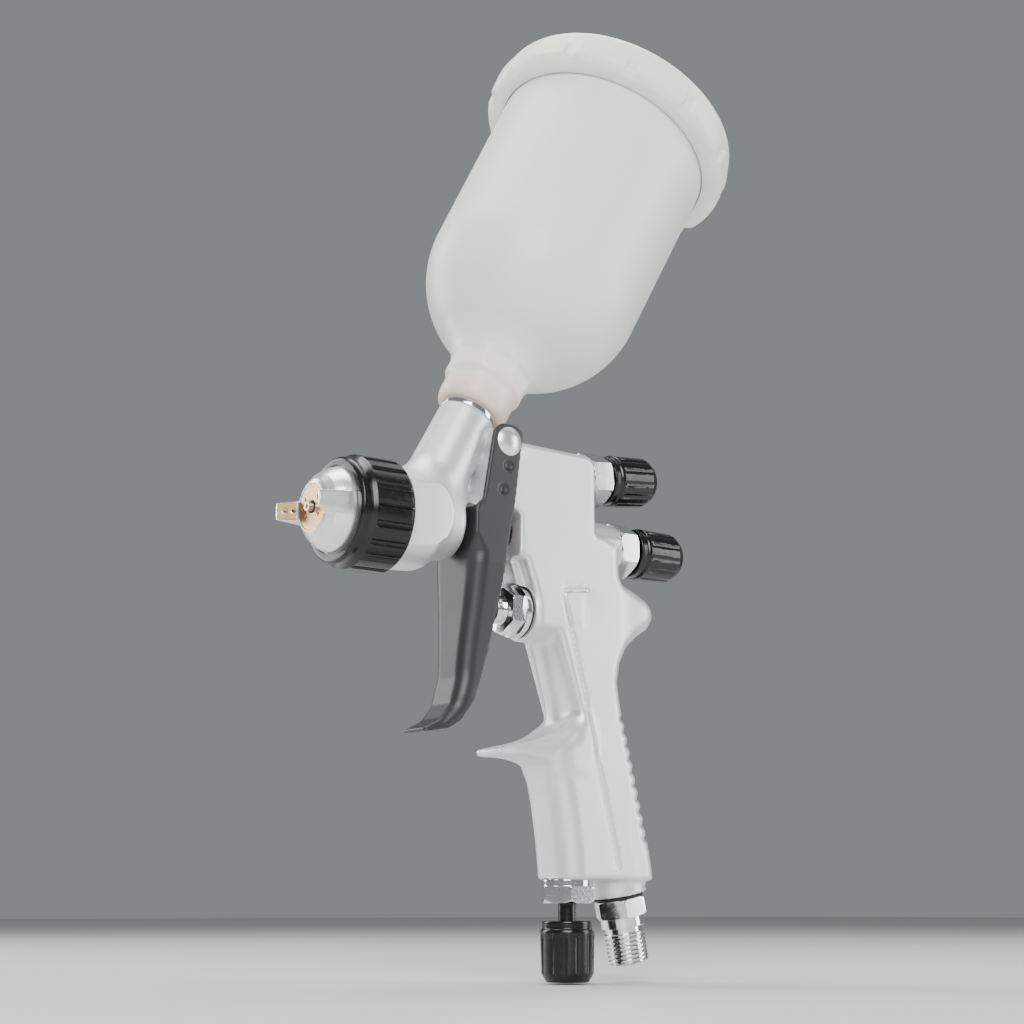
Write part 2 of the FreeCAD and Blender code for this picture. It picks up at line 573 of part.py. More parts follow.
def make_regulator():
    """Collared hexagonal bushing, long black stem, brass cone, O-ring and knob under the grip."""
    bushing = turned("regulator_bushing", [
        ("2.95", "-11"), ("6.5", "-11"), ("6.5", "0"), ("8.3", "0"), ("8.3", "2.2"), ("9", "2.2"),
        ("9.2", "2.5"), ("9.2", "6.6"), ("8.2", "7.4"), ("2.95", "7.4")])
    mill_hexagon(bushing, "dims.nut_flats", "2.2", "5.6")
    keep(bushing, "regulator_bushing", REGULATOR_PLACE)

    stem = turned("regulator_stem", [
        ("0", "-15.4"), ("2.9", "-15.4"), ("2.9", "8 + dims.knob_length"), ("0", "8 + dims.knob_length")])
    keep(stem, "regulator_stem", REGULATOR_PLACE)

    cone = turned("regulator_cone", [
        ("0", "-20.4"), ("0.8", "-20.4"), ("2.7", "-17.2"), ("2.7", "-15.4"), ("0", "-15.4")])
    keep(cone, "regulator_cone", REGULATOR_PLACE)

    seal = turned("regulator_seal", [
        ("3", "-14.4"), ("3.35", "-14.4"), ("3.35", "-12.6"), ("3", "-12.6")])
    keep(seal, "regulator_seal", REGULATOR_PLACE)
    make_knob("regulator_knob", REGULATOR_PLACE, "13", "2.95")


make_regulator()


# ---------------------------------------------------------------- air valve and inlet

def make_air_valve():
    """Flanged hexagonal bushing, gasket, stem, poppet and spring behind the trigger."""
    gasket = turned("valve_gasket", [
        ("6.8", "12.2"), ("8.3", "12.2"), ("8.3", "13"), ("6.8", "13")])
    keep(gasket, "valve_gasket", VALVE_PLACE)

    bushing = turned("valve_bushing", [
        ("dims.needle_size + dims.running_gap", "1.4"), ("4.2", "1.4"), ("4.6", "1.8"), ("4.6", "5.4"),
        ("7.3", "5.4"), ("8", "6"), ("8", "10.2"), ("8.6", "10.2"), ("8.6", "12.2"), ("6.5", "12.2"),
        ("6.5", "17"), ("dims.needle_size + dims.running_gap", "17")])
    mill_hexagon(bushing, "14", "5", "5.2")
    keep(bushing, "valve_bushing", VALVE_PLACE)

    stem = turned("valve_stem", [
        ("0", "-11"), ("2.8", "-11"), ("3", "-10.6"), ("3", "-9.6"), ("dims.needle_size", "-9.2"),
        ("dims.needle_size", "17.6"), ("0", "17.6")])
    keep(stem, "valve_stem", VALVE_PLACE)

    poppet = turned("valve_poppet", [
        ("0", "17.6"), ("4.6", "17.6"), ("4.6", "19.6"), ("2", "20.2"), ("2", "23"), ("0", "23")])
    keep(poppet, "valve_poppet", VALVE_PLACE)
    spring("valve_spring", VALVE_PLACE, "3.2", "0.4", "20.65", "14.9", 6)


def make_inlet():
    """Hexagonal inlet fitting with a round collar and a threaded end, and its gasket."""
    fitting = turned("inlet_fitting", [
        ("4.2", "0"), ("dims.inlet_thread", "0"),
        ("dims.inlet_thread", "-dims.inlet_length"), ("5.9", "-dims.inlet_length"), ("5.9", "-12"),
        ("7", "-12"), ("7", "-15.4"), ("8", "-15.4"), ("8.6", "-16"), ("8.6", "-20.6"),
        ("8.1", "-21.2"), ("6", "-21.2"), ("6", "-32"), ("4.2", "-32")])
    mill_hexagon(fitting, "15", "-21.4", "6.2")
    keep(fitting, "inlet_fitting", INLET_PLACE)

    gasket = turned("inlet_gasket", [
        ("6.1", "-22"), ("8", "-22"), ("8", "-21.2"), ("6.1", "-21.2")])
    keep(gasket, "inlet_gasket", INLET_PLACE)


make_air_valve()
make_inlet()


# ---------------------------------------------------------------- trigger

def make_trigger():
    """Sheet trigger: two legs, a front web with a fork round the needle, and a curled tip."""
    outer = "(dims.leg_inside + dims.plate)"
    leg_outline = [
        ("-4.8", "dims.pivot_up + 4"), ("-2.4", "dims.pivot_up + 5.6"), ("2.6", "dims.pivot_up + 5.6"),
        ("5.2", "dims.pivot_up + 3.6"), ("1.8", "8.6"), ("-1.8", "-12"), ("-12.2", "-12"),
        ("-12.2", "-5"), ("-9.4", "5.6")]
    legs = slab("legs", leg_outline, outer)
    side_outline = [
        ("-12.2", "-9"), ("-1.4", "-9"), ("-3.2", "-24"), ("-6", "-40"), ("-10.8", "-56"),
        ("-15.6", "-63.6"), ("-20", "-66.2"), ("-28", "-67.6"), ("-28.4", "-66.4"), ("-21.6", "-63"),
        ("-17.4", "-57"), ("-15", "-48"), ("-13.4", "-28")]
    sides = slab("sides", side_outline, outer)
    hollow_outline = [
        ("-10.7", "dims.pivot_up + 9"), ("9", "dims.pivot_up + 9"), ("9", "-62.8"),
        ("-18.8", "-64.6"), ("-20.4", "-64"), ("-15.8", "-56.4"), ("-13.5", "-48"), ("-11.9", "-28"),
        ("-10.7", "-9")]
    hollow = slab("channel", hollow_outline, "dims.leg_inside")
    front_view = doc.addObject("PartDesign::Body", "front_view")
    sketch = new_sketch(front_view, "YZ_Plane")
    draw_outline(sketch, [
        ("-" + outer, "dims.pivot_up + 9"), (outer, "dims.pivot_up + 9"), (outer, "-12"),
        ("8.6", "-48"), ("7.4", "-60"), ("6.4", "-66"), ("5", "-68"), ("-5", "-68"), ("-6.4", "-66"),
        ("-7.4", "-60"), ("-8.6", "-48"), ("-" + outer, "-12")])
    pad = front_view.newObject("PartDesign::Pad", "front_view_pad")
    pad.Profile = sketch
    pad.Midplane = True
    pad.Length = 80
    inner_view = doc.addObject("PartDesign::Body", "inner_view")
    sketch = new_sketch(inner_view, "YZ_Plane")
    draw_outline(sketch, [
        ("-dims.leg_inside", "dims.pivot_up + 9"), ("dims.leg_inside", "dims.pivot_up + 9"),
        ("dims.leg_inside", "-12"), ("7.1", "-48"), ("5.9", "-60"), ("4.9", "-64.8"),
        ("-4.9", "-64.8"), ("-5.9", "-60"), ("-7.1", "-48"), ("-dims.leg_inside", "-12")])
    pad = inner_view.newObject("PartDesign::Pad", "inner_view_pad")
    pad.Profile = sketch
    pad.Midplane = True
    pad.Length = 80
    blank = doc.addObject("Part::MultiCommon", "trigger_blank")
    blank.Shapes = [fuse("trigger_sides", [legs, sides]), front_view]
    inside = doc.addObject("Part::MultiCommon", "trigger_inside")
    inside.Shapes = [hollow, inner_view]
    open_top = box("open_top", ("-20", "-dims.leg_inside", "-4.8"), ("20", "dims.leg_inside", "50"))
    pin_hole = cylinder("trigger_pin_hole", "dims.pin_size + dims.running_gap", "40",
                        local(0, -20, cell("pivot_up"), FACING_Y))
    dimples = []
    for side in (-1, 1):
        for station, height in ((-0.6, 19.4), (-2.6, 11.7)):
            base = side * (cell("leg_inside") + cell("plate") + 0.05) - 0.35
            dimples.append(cylinder("dimple", "1.7", "0.7", local(station, base, height, FACING_Y)))
    shell = cut("trigger_shell", blank, fuse("trigger_hollows",
                                             [inside, open_top, pin_hole] + dimples))
    fork = cut("fork",
               box("fork_plate", ("-12.2", "-6.6", "-12"), ("-10.7", "6.6", "4.4")),
               fuse("fork_slot", [
                   cylinder("fork_round", "2.7", "6", local(-14, 0, 0, FACING_X)),
                   box("fork_gap", ("-14", "-2.7", "0"), ("-8", "2.7", "9"))]))
    keep(fuse("trigger_solid", [shell, fork]), "trigger", CASTING_PLACE)

    pin = turned("pivot_pin", [
        ("0", "-14"), ("1.6", "-13.9"), ("3.4", "-13.4"), ("4.4", "-12.8"), ("4.6", "-12.5"),
        ("dims.pin_size", "-12.5"), ("dims.pin_size", "11"), ("0", "11")])
    keep(pin, "pivot_pin", on_gun(0, 0, cell("pivot_up")).multiply(local(0, 0, 0, FACING_Y)))

    screw = turned("pivot_screw", [
        ("0", "11"), ("dims.pin_size", "11"), ("dims.pin_size", "12.5"), ("4.6", "12.5"),
        ("4.4", "12.9"), ("3.6", "13.6"), ("1.4", "13.8"), ("1.4", "13"), ("0", "13")])
    keep(screw, "pivot_screw", on_gun(0, 0, cell("pivot_up")).multiply(local(0, 0, 0, FACING_Y)))


make_trigger()


# ---------------------------------------------------------------- cup

def round_bottom(radius, centre, first, last, steps):
    """Corners along a quarter round, from one angle below the equator to another, in degrees."""
    corners = []
    for number in range(steps + 1):
        angle = first + (last - first) * number / steps
        corners.append(("(%s) * cos(%.3f)" % (radius, angle),
                        "(%s) - (%s) * sin(%.3f)" % (centre, radius, angle)))
    return corners


def make_cup():
    """Adapter nipple, strainer, cup with a moulded neck, lid with grip pads, its seal and vent."""
    adapter = turned("cup_adapter", [
        ("4.4", "27.2"), ("6.5", "27.2"), ("6.5", "dims.boss_top"), ("dims.adapter_size", "dims.boss_top"),
        ("dims.adapter_size", "dims.boss_top + 1.8"), ("7", "dims.boss_top + 1.8"),
        ("7", "dims.boss_top + 12"), ("4.4", "dims.boss_top + 12")])
    keep(adapter, "cup_adapter", CUP_PLACE)

    strainer = turned("cup_strainer", [
        ("0", "dims.boss_top + 3"), ("3.4", "dims.boss_top + 3"), ("4.2", "dims.boss_top + 12.2"),
        ("6.8", "dims.boss_top + 12.2"), ("6.8", "dims.boss_top + 13.4"),
        ("3.4", "dims.boss_top + 13.4"), ("2.6", "dims.boss_top + 4"), ("0", "dims.boss_top + 4")])
    keep(strainer, "cup_strainer", CUP_PLACE)

    inner = "(dims.cup_size - dims.cup_wall)"
    outline = [
        ("7.05", "dims.boss_top + 1.9"), ("10.4", "dims.boss_top + 1.9"),
        ("11.5", "dims.boss_top + 3"), ("11.9", "dims.boss_top + 5"),
        ("11.9", "dims.boss_top + 11.4"), ("13.2", "dims.boss_top + 12.6"),
        ("13.7", "dims.boss_top + 14"), ("14", "dims.boss_top + 21")]
    outline += round_bottom("dims.cup_size", "dims.cup_round", 65, 0, 10)
    outline += [("dims.cup_size + dims.cup_flare", "dims.cup_rim"),
                (inner + " + dims.cup_flare", "dims.cup_rim")]
    outline += list(reversed(round_bottom(inner, "dims.cup_round", 77, 0, 10)))
    outline += [("7.05", "dims.boss_top + 17")]
    keep(turned("cup", outline), "cup", CUP_PLACE)

    rim = "(dims.cup_size + dims.cup_flare)"
    seal = turned("lid_seal", [
        (rim + " - 2.2", "dims.cup_rim + 0.05"), (rim + " + 0.8", "dims.cup_rim + 0.05"),
        (rim + " + 0.8", "dims.cup_rim + 1.2"), (rim + " - 2.2", "dims.cup_rim + 1.2")])
    keep(seal, "lid_seal", CUP_PLACE)

    lid = turned("cup_lid", [
        ("3.1", "dims.lid_top + 0.4"), ("24", "dims.lid_top + 0.4"),
        ("dims.lid_size - 1.4", "dims.lid_top"), ("dims.lid_size", "dims.lid_top - 1"),
        ("dims.lid_size - 0.2", "dims.lid_foot + 9"), ("dims.lid_size + 1.2", "dims.lid_foot + 8"),
        ("dims.lid_size + 1.2", "dims.lid_foot + 3"), ("dims.lid_size - 1.4", "dims.lid_foot"),
        (rim + " + 2.2", "dims.lid_foot - 1.4"), (rim + " + 0.4", "dims.lid_foot - 1.4"),
        (rim + " + 0.4", "dims.lid_foot + 2"), (rim + " + 1.2", "dims.lid_foot + 3"),
        (rim + " + 1.2", "dims.cup_rim + 1.3"), (rim + " - 5", "dims.cup_rim + 1.3"),
        (rim + " - 5", "dims.lid_top - 1.4"), ("3.1", "dims.lid_top - 1.4")])
    cut_flutes(lid, 12, "dims.lid_size + 5.6", "5.4", "dims.lid_foot - 2", "11")
    keep(lid, "cup_lid", CUP_PLACE)

    vent = turned("lid_vent", [
        ("0.8", "dims.lid_top - 3.6"), ("3", "dims.lid_top - 3.6"), ("3", "dims.lid_top + 0.4"),
        ("4.6", "dims.lid_top + 0.4"), ("4.6", "dims.lid_top + 2.2"), ("4", "dims.lid_top + 2.8"),
        ("0.8", "dims.lid_top + 2.8")])
    keep(vent, "lid_vent", CUP_PLACE)


make_cup()


# ---------------------------------------------------------------- checks and files

def check_document():
    """Stop if any object failed to build or any sub-part isn't one valid solid."""
    doc.recompute()
    for item in doc.Objects:
        if "Invalid" in item.State or "Error" in item.State:
            raise RuntimeError("%s failed: %s" % (item.Label, item.State))
    for item in subparts:
        shape = item.Shape
        if shape.isNull() or not shape.isValid():
            raise RuntimeError("%s has no valid shape" % item.Label)
        print("%-18s %9.1f mm3  %d solid" % (item.Label, shape.Volume, len(shape.Solids)))


def write_parts():
    """Write each sub-part to its own STEP file."""
    os.makedirs("parts", exist_ok=True)
    for item in subparts:
        item.Shape.exportStep(os.path.join("parts", item.Label + ".step"))


check_document()
write_parts()
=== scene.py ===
"""Looks for a small gravity-feed spray gun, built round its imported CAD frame.

Lengths in the shape functions are millimetres. A station is a distance along a piece's own axis, and
gun millimetres are measured from the needle's axis under the trigger's pivot: x back from the spray
head, y to the gun's left and z up. Everything is turned into metres in the frame when a mesh is made.
"""

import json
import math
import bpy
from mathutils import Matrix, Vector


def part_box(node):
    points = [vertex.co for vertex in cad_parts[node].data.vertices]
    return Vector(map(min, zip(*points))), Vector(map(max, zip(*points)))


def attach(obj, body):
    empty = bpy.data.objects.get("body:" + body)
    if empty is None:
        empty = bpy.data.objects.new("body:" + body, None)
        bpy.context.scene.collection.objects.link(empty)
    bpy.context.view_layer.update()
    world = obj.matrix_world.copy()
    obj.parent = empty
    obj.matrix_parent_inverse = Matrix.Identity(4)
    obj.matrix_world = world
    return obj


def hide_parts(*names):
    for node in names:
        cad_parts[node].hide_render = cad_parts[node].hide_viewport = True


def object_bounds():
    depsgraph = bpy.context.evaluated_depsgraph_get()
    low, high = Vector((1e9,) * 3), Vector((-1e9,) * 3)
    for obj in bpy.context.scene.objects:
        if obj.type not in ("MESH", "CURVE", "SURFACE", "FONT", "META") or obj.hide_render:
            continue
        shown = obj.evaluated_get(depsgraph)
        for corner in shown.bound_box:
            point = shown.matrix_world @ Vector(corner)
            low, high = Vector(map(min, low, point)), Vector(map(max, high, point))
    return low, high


bl_info = {
    "name": "Gravity Feed Spray Gun",
    "version": (1, 0, 0),
    "blender": (4, 5, 0),
    "location": "3D View > Sidebar > Spray Gun",
    "description": "Makes the casting, trigger, head, controls, inlet and cup of a small spray gun",
    "category": "Add Mesh",
}

import bmesh
import bpy
import numpy as np
import openvdb
from mathutils import Vector

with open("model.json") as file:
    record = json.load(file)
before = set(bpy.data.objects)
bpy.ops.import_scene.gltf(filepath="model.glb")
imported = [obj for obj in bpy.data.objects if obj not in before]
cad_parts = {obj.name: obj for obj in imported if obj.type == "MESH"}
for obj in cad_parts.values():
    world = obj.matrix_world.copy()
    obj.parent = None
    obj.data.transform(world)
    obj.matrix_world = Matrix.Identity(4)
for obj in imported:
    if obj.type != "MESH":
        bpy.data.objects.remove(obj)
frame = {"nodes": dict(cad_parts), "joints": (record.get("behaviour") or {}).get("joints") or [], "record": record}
cad_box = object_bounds()

MM = 0.001
JOINTS = {joint["name"]: joint for joint in frame["joints"]}
PIVOT = np.array(JOINTS["trigger_pull"]["pos_m"])
NEEDLE_HEIGHT = (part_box("fluid_needle")[0].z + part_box("fluid_needle")[1].z) / 2
ZERO = np.array((PIVOT[0], 0.0, NEEDLE_HEIGHT))
PIVOT_UP = (PIVOT[2] - NEEDLE_HEIGHT) / MM
VALVE_DOWN = (NEEDLE_HEIGHT - (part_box("valve_stem")[0].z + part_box("valve_stem")[1].z) / 2) / MM
CUP_AXIS = np.array(JOINTS["cup_travel"]["axis"])
FAN_AXIS = np.array(JOINTS["fan_travel"]["axis"])
FAN_FACE = np.array(JOINTS["fan_knob_turn"]["pos_m"])
INLET_AXIS = np.array(frame["record"]["mounts"][0]["axis"])
REGULATOR = np.array(JOINTS["regulator_knob_turn"]["pos_m"])
CUP_FOOT = -27.9
REGULATOR_NUT = 7.4
GRIP_FOOT = (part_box("regulator_bushing")[0].z + REGULATOR_NUT * MM - NEEDLE_HEIGHT) / MM

# Places and directions in the side view, as (back, up).
CUP_LEAN = (math.sin(math.acos(CUP_AXIS[2])), CUP_AXIS[2])
FAN_PLACE = ((FAN_FACE - ZERO) / MM)[[0, 2]]
FAN_LEAN = (FAN_AXIS[0], FAN_AXIS[2])
INLET_PLACE = (-ZERO / MM)[[0, 2]]
INLET_LEAN = (INLET_AXIS[0], INLET_AXIS[2])
REGULATOR_PLACE = ((REGULATOR[0] - ZERO[0]) / MM, GRIP_FOOT)

CASTING_HALF = 10.4     # half the casting's width across its flat sides
BUSH_BORE = 6.6         # radius of the threaded holes that the nuts screw into
NUT_FLATS = 16.0        # across the flats of the three control nuts
FLUID_FACE = 49.5       # station of the casting's face behind the fluid nut


def unit(vector):
    """A vector of length one."""
    return np.array(vector, float) / np.linalg.norm(vector)


class Axis:
    """A straight axis that turned pieces are placed on: its zero, its direction and two sides."""

    def __init__(self, zero, direction):
        self.zero = np.array(zero, float)
        self.along = unit(direction)
        self.side = unit(np.cross((0, 1, 0) if abs(self.along[1]) < 0.9 else (0, 0, 1), self.along))
        self.other = np.cross(self.along, self.side)


NEEDLE = Axis(ZERO, (1, 0, 0))
VALVE = Axis(ZERO - np.array((0, 0, VALVE_DOWN * MM)), (1, 0, 0))
FAN = Axis(FAN_FACE, FAN_AXIS)
CUP = Axis(ZERO + np.array((CUP_FOOT * MM, 0, 0)), CUP_AXIS)
FOOT = Axis((REGULATOR[0], 0, NEEDLE_HEIGHT + GRIP_FOOT * MM), (0, 0, -1))
INLET = Axis((0, 0, 0), INLET_AXIS)
CROSS = Axis(PIVOT, (0, 1, 0))


# ---------------------------------------------------------------- meshes

def finish_mesh(name, points, faces, body, replaced, crease=35.0, weld=2e-6):
    """Make the object: weld repeated points, turn the faces outwards and shade it smooth up to a crease."""
    mesh = bpy.data.meshes.new(name)
    mesh.from_pydata(points.tolist(), [], faces.tolist())
    if weld:
        solid = bmesh.new()
        solid.from_mesh(mesh)
        bmesh.ops.remove_doubles(solid, verts=solid.verts, dist=weld)
        bmesh.ops.dissolve_degenerate(solid, edges=solid.edges, dist=weld)
        bmesh.ops.recalc_face_normals(solid, faces=solid.faces)
        solid.to_mesh(mesh)
        solid.free()
    mesh.polygons.foreach_set("use_smooth", np.ones(len(mesh.polygons), bool))
    mesh.set_sharp_from_angle(angle=math.radians(crease))
    piece = bpy.data.objects.new(name, mesh)
    bpy.context.scene.collection.objects.link(piece)
    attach(piece, body)
    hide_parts(*replaced)
    return piece


def eased(corners, reach, steps=4):
    """A profile with its corners rounded: each corner becomes a quadratic arc that starts and ends
    reach before and after it, or less on a short side. A row is (radius, station, flats)."""
    rows = [tuple(corner) + (0.0,) * (3 - len(corner)) for corner in corners]
    count = len(rows)
    out = []
    for number, row in enumerate(rows):
        if number in (0, count - 1):
            out.append(row)
            continue
        here, before, after = (np.array(r[:2], float) for r in (row, rows[number - 1], rows[number + 1]))
        back, on = before - here, after - here
        cut = min(reach, 0.4 * np.linalg.norm(back), 0.4 * np.linalg.norm(on))
        start, end = here + unit(back) * cut, here + unit(on) * cut
        for t in np.linspace(0, 1, steps):
            point = (1 - t) ** 2 * start + 2 * t * (1 - t) * here + t ** 2 * end
            out.append((point[0], point[1], row[2]))
    return out


def refined(rows, step):
    """The profile with rows added so that no side is longer than step."""
    out = [rows[0]]
    for before, after in zip(rows, rows[1:]):
        length = math.hypot(after[0] - before[0], after[1] - before[1])
        parts = max(1, math.ceil(length / step)) if bool(before[2]) == bool(after[2]) else 1
        for part in range(1, parts + 1):
            t = part / parts
            flats = after[2] if part == parts or before[2] == after[2] else 0.0
            out.append((before[0] + (after[0] - before[0]) * t,
                        before[1] + (after[1] - before[1]) * t, flats))
    return out


def turned(name, axis, profile, body, replaced, sides=96, ripple=None, crease=35.0):
    """A surface of revolution: ring k has the profile's radius and station, and the point at angle a
    lies at station along the axis plus radius times (cos a, sin a) across it. A row with flats is cut
    to a hexagon: its radius is at most half the flats over the cosine of the angle from a flat's middle.
    ripple(radius, station, angle) may change the radius further, as for ribs or a thread."""
    rows = np.array([tuple(row) + (0.0,) * (3 - len(row)) for row in profile])
    angle = np.linspace(0, math.tau, sides, endpoint=False)
    radius = np.repeat(rows[:, :1], sides, axis=1)
    station = np.repeat(rows[:, 1:2], sides, axis=1)
    from_flat = (angle % (math.tau / 6)) - math.tau / 12
    prism = rows[:, 2:3] / 2 / np.cos(from_flat)[None, :]
    radius = np.where(rows[:, 2:3] > 0, np.minimum(radius, prism), radius)
    if ripple:
        radius = ripple(radius, station, angle[None, :])
    across = (np.cos(angle)[None, :, None] * axis.side + np.sin(angle)[None, :, None] * axis.other)
    points = axis.zero + MM * (station[..., None] * axis.along + radius[..., None] * across)
    ring = np.arange(len(rows) - 1)[:, None] * sides
    here = np.arange(sides)[None, :]
    beside = (here + 1) % sides
    faces = np.stack((ring + here, ring + beside, ring + sides + beside, ring + sides + here), axis=-1)
    return finish_mesh(name, points.reshape(-1, 3), faces.reshape(-1, 4), body, replaced, crease)


def grooves(count, centre, size, start, end, run_out):
    """A ripple of round-bottomed grooves: the wall is cut by count cylinders of the given size, their
    centres on a circle, and near each end the centres move outwards, so that a groove runs out."""
    def ripple(radius, station, angle):
        past = np.maximum(np.maximum(start + run_out - station, station - end + run_out), 0) / run_out
        middle = centre + size * past ** 2
        share = math.tau / count
        off = angle % share - share / 2
        sideways = middle * np.sin(off)
        depth = np.sqrt(np.maximum(size ** 2 - sideways ** 2, 0))
        wall = middle * np.cos(off) - depth
        inside = (np.abs(sideways) < size) & (station > start) & (station < end)
        return np.where(inside, np.minimum(radius, wall), radius)
    return ripple


# ---------------------------------------------------------------- solids from distances

def box_of_points(low, high, step):
    """The x, y and z rows of a grid of points over a box, each shaped to spread over the other two."""
    rows = [np.arange(a, b + step, step, dtype=np.float32) for a, b in zip(low, high)]
    return rows[0][:, None, None], rows[1][None, :, None], rows[2][None, None, :]


def outline_distance(a, b, corners):
    """Signed distance in a plane to a closed outline: the distance to its nearest side, negative where
    a line to one hand crosses the outline an odd number of times."""
    best = np.full(np.broadcast(a, b).shape, 1e9, np.float32)
    inside = np.zeros(best.shape, bool)
    for (a0, b0), (a1, b1) in zip(corners, corners[1:] + corners[:1]):
        run, rise = a1 - a0, b1 - b0
        if run == 0 and rise == 0:
            continue
        share = np.clip(((a - a0) * run + (b - b0) * rise) / (run * run + rise * rise), 0, 1)
        best = np.minimum(best, (a - a0 - share * run) ** 2 + (b - b0 - share * rise) ** 2)
        if rise:
            inside ^= ((b0 > b) != (b1 > b)) & (a < a0 + (b - b0) * run / rise)
    return np.where(inside, -1, 1).astype(np.float32) * np.sqrt(best)


def flowing(corners, parts=5):
    """A closed outline that passes through the corners in one smooth curve: between two of them it is
    the cubic whose slope at each is half the way from the one before to the one after."""
    out = []
    count = len(corners)
    for k in range(count):
        before, here, after, beyond = (np.array(corners[(k + j) % count], float) for j in (-1, 0, 1, 2))
        for t in np.arange(parts) / parts:
            square = 2 * before - 5 * here + 4 * after - beyond
            cube = 3 * here - before - 3 * after + beyond
            point = 0.5 * (2 * here + (after - before) * t + square * t ** 2 + cube * t ** 3)
            out.append((float(point[0]), float(point[1])))
    return out


def softened(field, axes, cells):
    """A field averaged twice over a square of cells each way, which rounds an outline's corners."""
    for axis in axes * 2:
        padded = np.concatenate([np.repeat(np.take(field, [0], axis), cells + 1, axis), field,
                                 np.repeat(np.take(field, [-1], axis), cells, axis)], axis)
        total = np.cumsum(padded, axis, dtype=np.float64)
        width = 2 * cells + 1
        upper = np.take(total, range(width, total.shape[axis]), axis)
        lower = np.take(total, range(0, total.shape[axis] - width), axis)
        field = ((upper - lower) / width).astype(np.float32)
    return field


def side_view(x, z, corners, step, soft):
    """Distance to an outline drawn in the side view, its corners softened over soft millimetres."""
    field = outline_distance(x, z, corners)
    cells = round(soft / step)
    return softened(field, (0, 2), cells) if cells else field


def plate(outline, y, half, rounding):
    """A plate of the outline's shape, half thick to each side, with its edges rounded."""
    in_plane, across = outline + rounding, np.abs(y) - half + rounding
    return (np.minimum(np.maximum(in_plane, across), 0)
            + np.hypot(np.maximum(in_plane, 0), np.maximum(across, 0)) - rounding)


def lathe(x, radius, corners, step, soft=0.4):
    """A solid turned about the x axis: its half section's distance is worked out on a table of radii,
    and read between the table's rows for each point."""
    table_step = 0.25
    radii = np.arange(0, float(radius.max()) + 1, table_step, dtype=np.float32)[None, None, :]
    half = corners + [(a, -b) for a, b in reversed(corners)]
    table = outline_distance(x, radii, half)[:, 0, :]
    if soft:
        table = softened(table, (0,), max(1, round(soft / step)))
    place = radius[0] / table_step
    low = np.minimum(place.astype(int), table.shape[1] - 2)
    share = (place - low).astype(np.float32)
    return table[:, low] * (1 - share) + table[:, low + 1] * share


def rod(x, y, z, zero, direction, radius, start, end, taper=0.0):
    """A cylinder or cone on a slanting axis in the side view, from one station to another."""
    along = (x - zero[0]) * direction[0] + (z - zero[1]) * direction[1]
    across = (z - zero[1]) * direction[0] - (x - zero[0]) * direction[1]
    wall = np.hypot(across, y) - radius - taper * along
    return np.maximum(wall, np.maximum(start - along, along - end)).astype(np.float32)


def joined(one, other, blend):
    """Union with a fillet: the smaller distance, less a parabola where both are nearly equal."""
    overlap = np.maximum(blend - np.abs(one - other), 0) / blend
    return np.minimum(one, other) - overlap * overlap * blend / 4


def carved(one, other, blend):
    """The first solid with the other taken away, its new edge rounded the same way."""
    return -joined(-one, other, blend)


def skin(name, field, low, step, body, replaced, crease, limit=190000):
    """The surface where the distance is zero, as quads, thinned evenly if it has too many triangles."""
    grid = openvdb.FloatGrid(5.0)
    grid.copyFromArray(np.ascontiguousarray(field, np.float32))
    grid.transform = openvdb.createLinearTransform(voxelSize=step)
    points, quads = grid.convertToQuads(isovalue=0.0)
    points = (np.array(points) + np.array(low)) * MM + ZERO
    quads = np.array(quads)[:, ::-1]
    piece = finish_mesh(name, points, quads, body, replaced, crease, weld=0)
    if 2 * len(quads) > limit:
        thin = piece.modifiers.new("thinned", "DECIMATE")
        thin.ratio = limit / (2 * len(quads))
        with bpy.context.temp_override(object=piece, active_object=piece, selected_objects=[piece]):
            bpy.ops.object.modifier_apply(modifier=thin.name)
        piece.data.polygons.foreach_set("use_smooth", np.ones(len(piece.data.polygons), bool))
        piece.data.set_sharp_from_angle(angle=math.radians(crease))
    return piece


# ---------------------------------------------------------------- materials

def linear(colour):
    """An sRGB colour, #RRGGBB, in linear light."""
    parts = [int(colour[k:k + 2], 16) / 255 for k in (1, 3, 5)]
    return tuple(c / 12.92 if c <= 0.04045 else ((c + 0.055) / 1.055) ** 2.4 for c in parts) + (1.0,)


def shaded(colour, one, other):
    """A linear colour changed in each channel by as much as one sRGB shade differs from another."""
    return tuple(c * b / a for c, a, b in zip(colour, linear(one), linear(other)))


def add(tree, kind, inputs=(), **properties):
    """Add a node, set its properties, and set or link its inputs."""
    made = tree.nodes.new(kind)
    for key, value in properties.items():
        setattr(made, key, value)
    for key, value in dict(inputs).items():
        if isinstance(value, bpy.types.NodeSocket):
            tree.links.new(value, made.inputs[key])
        else:
            made.inputs[key].default_value = value
    return made


def surface(name, colour, metallic, roughness, **more):
    """A material with one shader, its plain values set on the shader's own sockets."""
    material = bpy.data.materials.new(name)
    material.use_nodes = True
    tree = material.node_tree
    shader = tree.nodes["Principled BSDF"]
    shader.inputs["Base Color"].default_value = colour
    shader.inputs["Metallic"].default_value = metallic
    shader.inputs["Roughness"].default_value = roughness
    for key, value in more.items():
        shader.inputs[key.replace("_", " ")].default_value = value
    return material, tree, shader


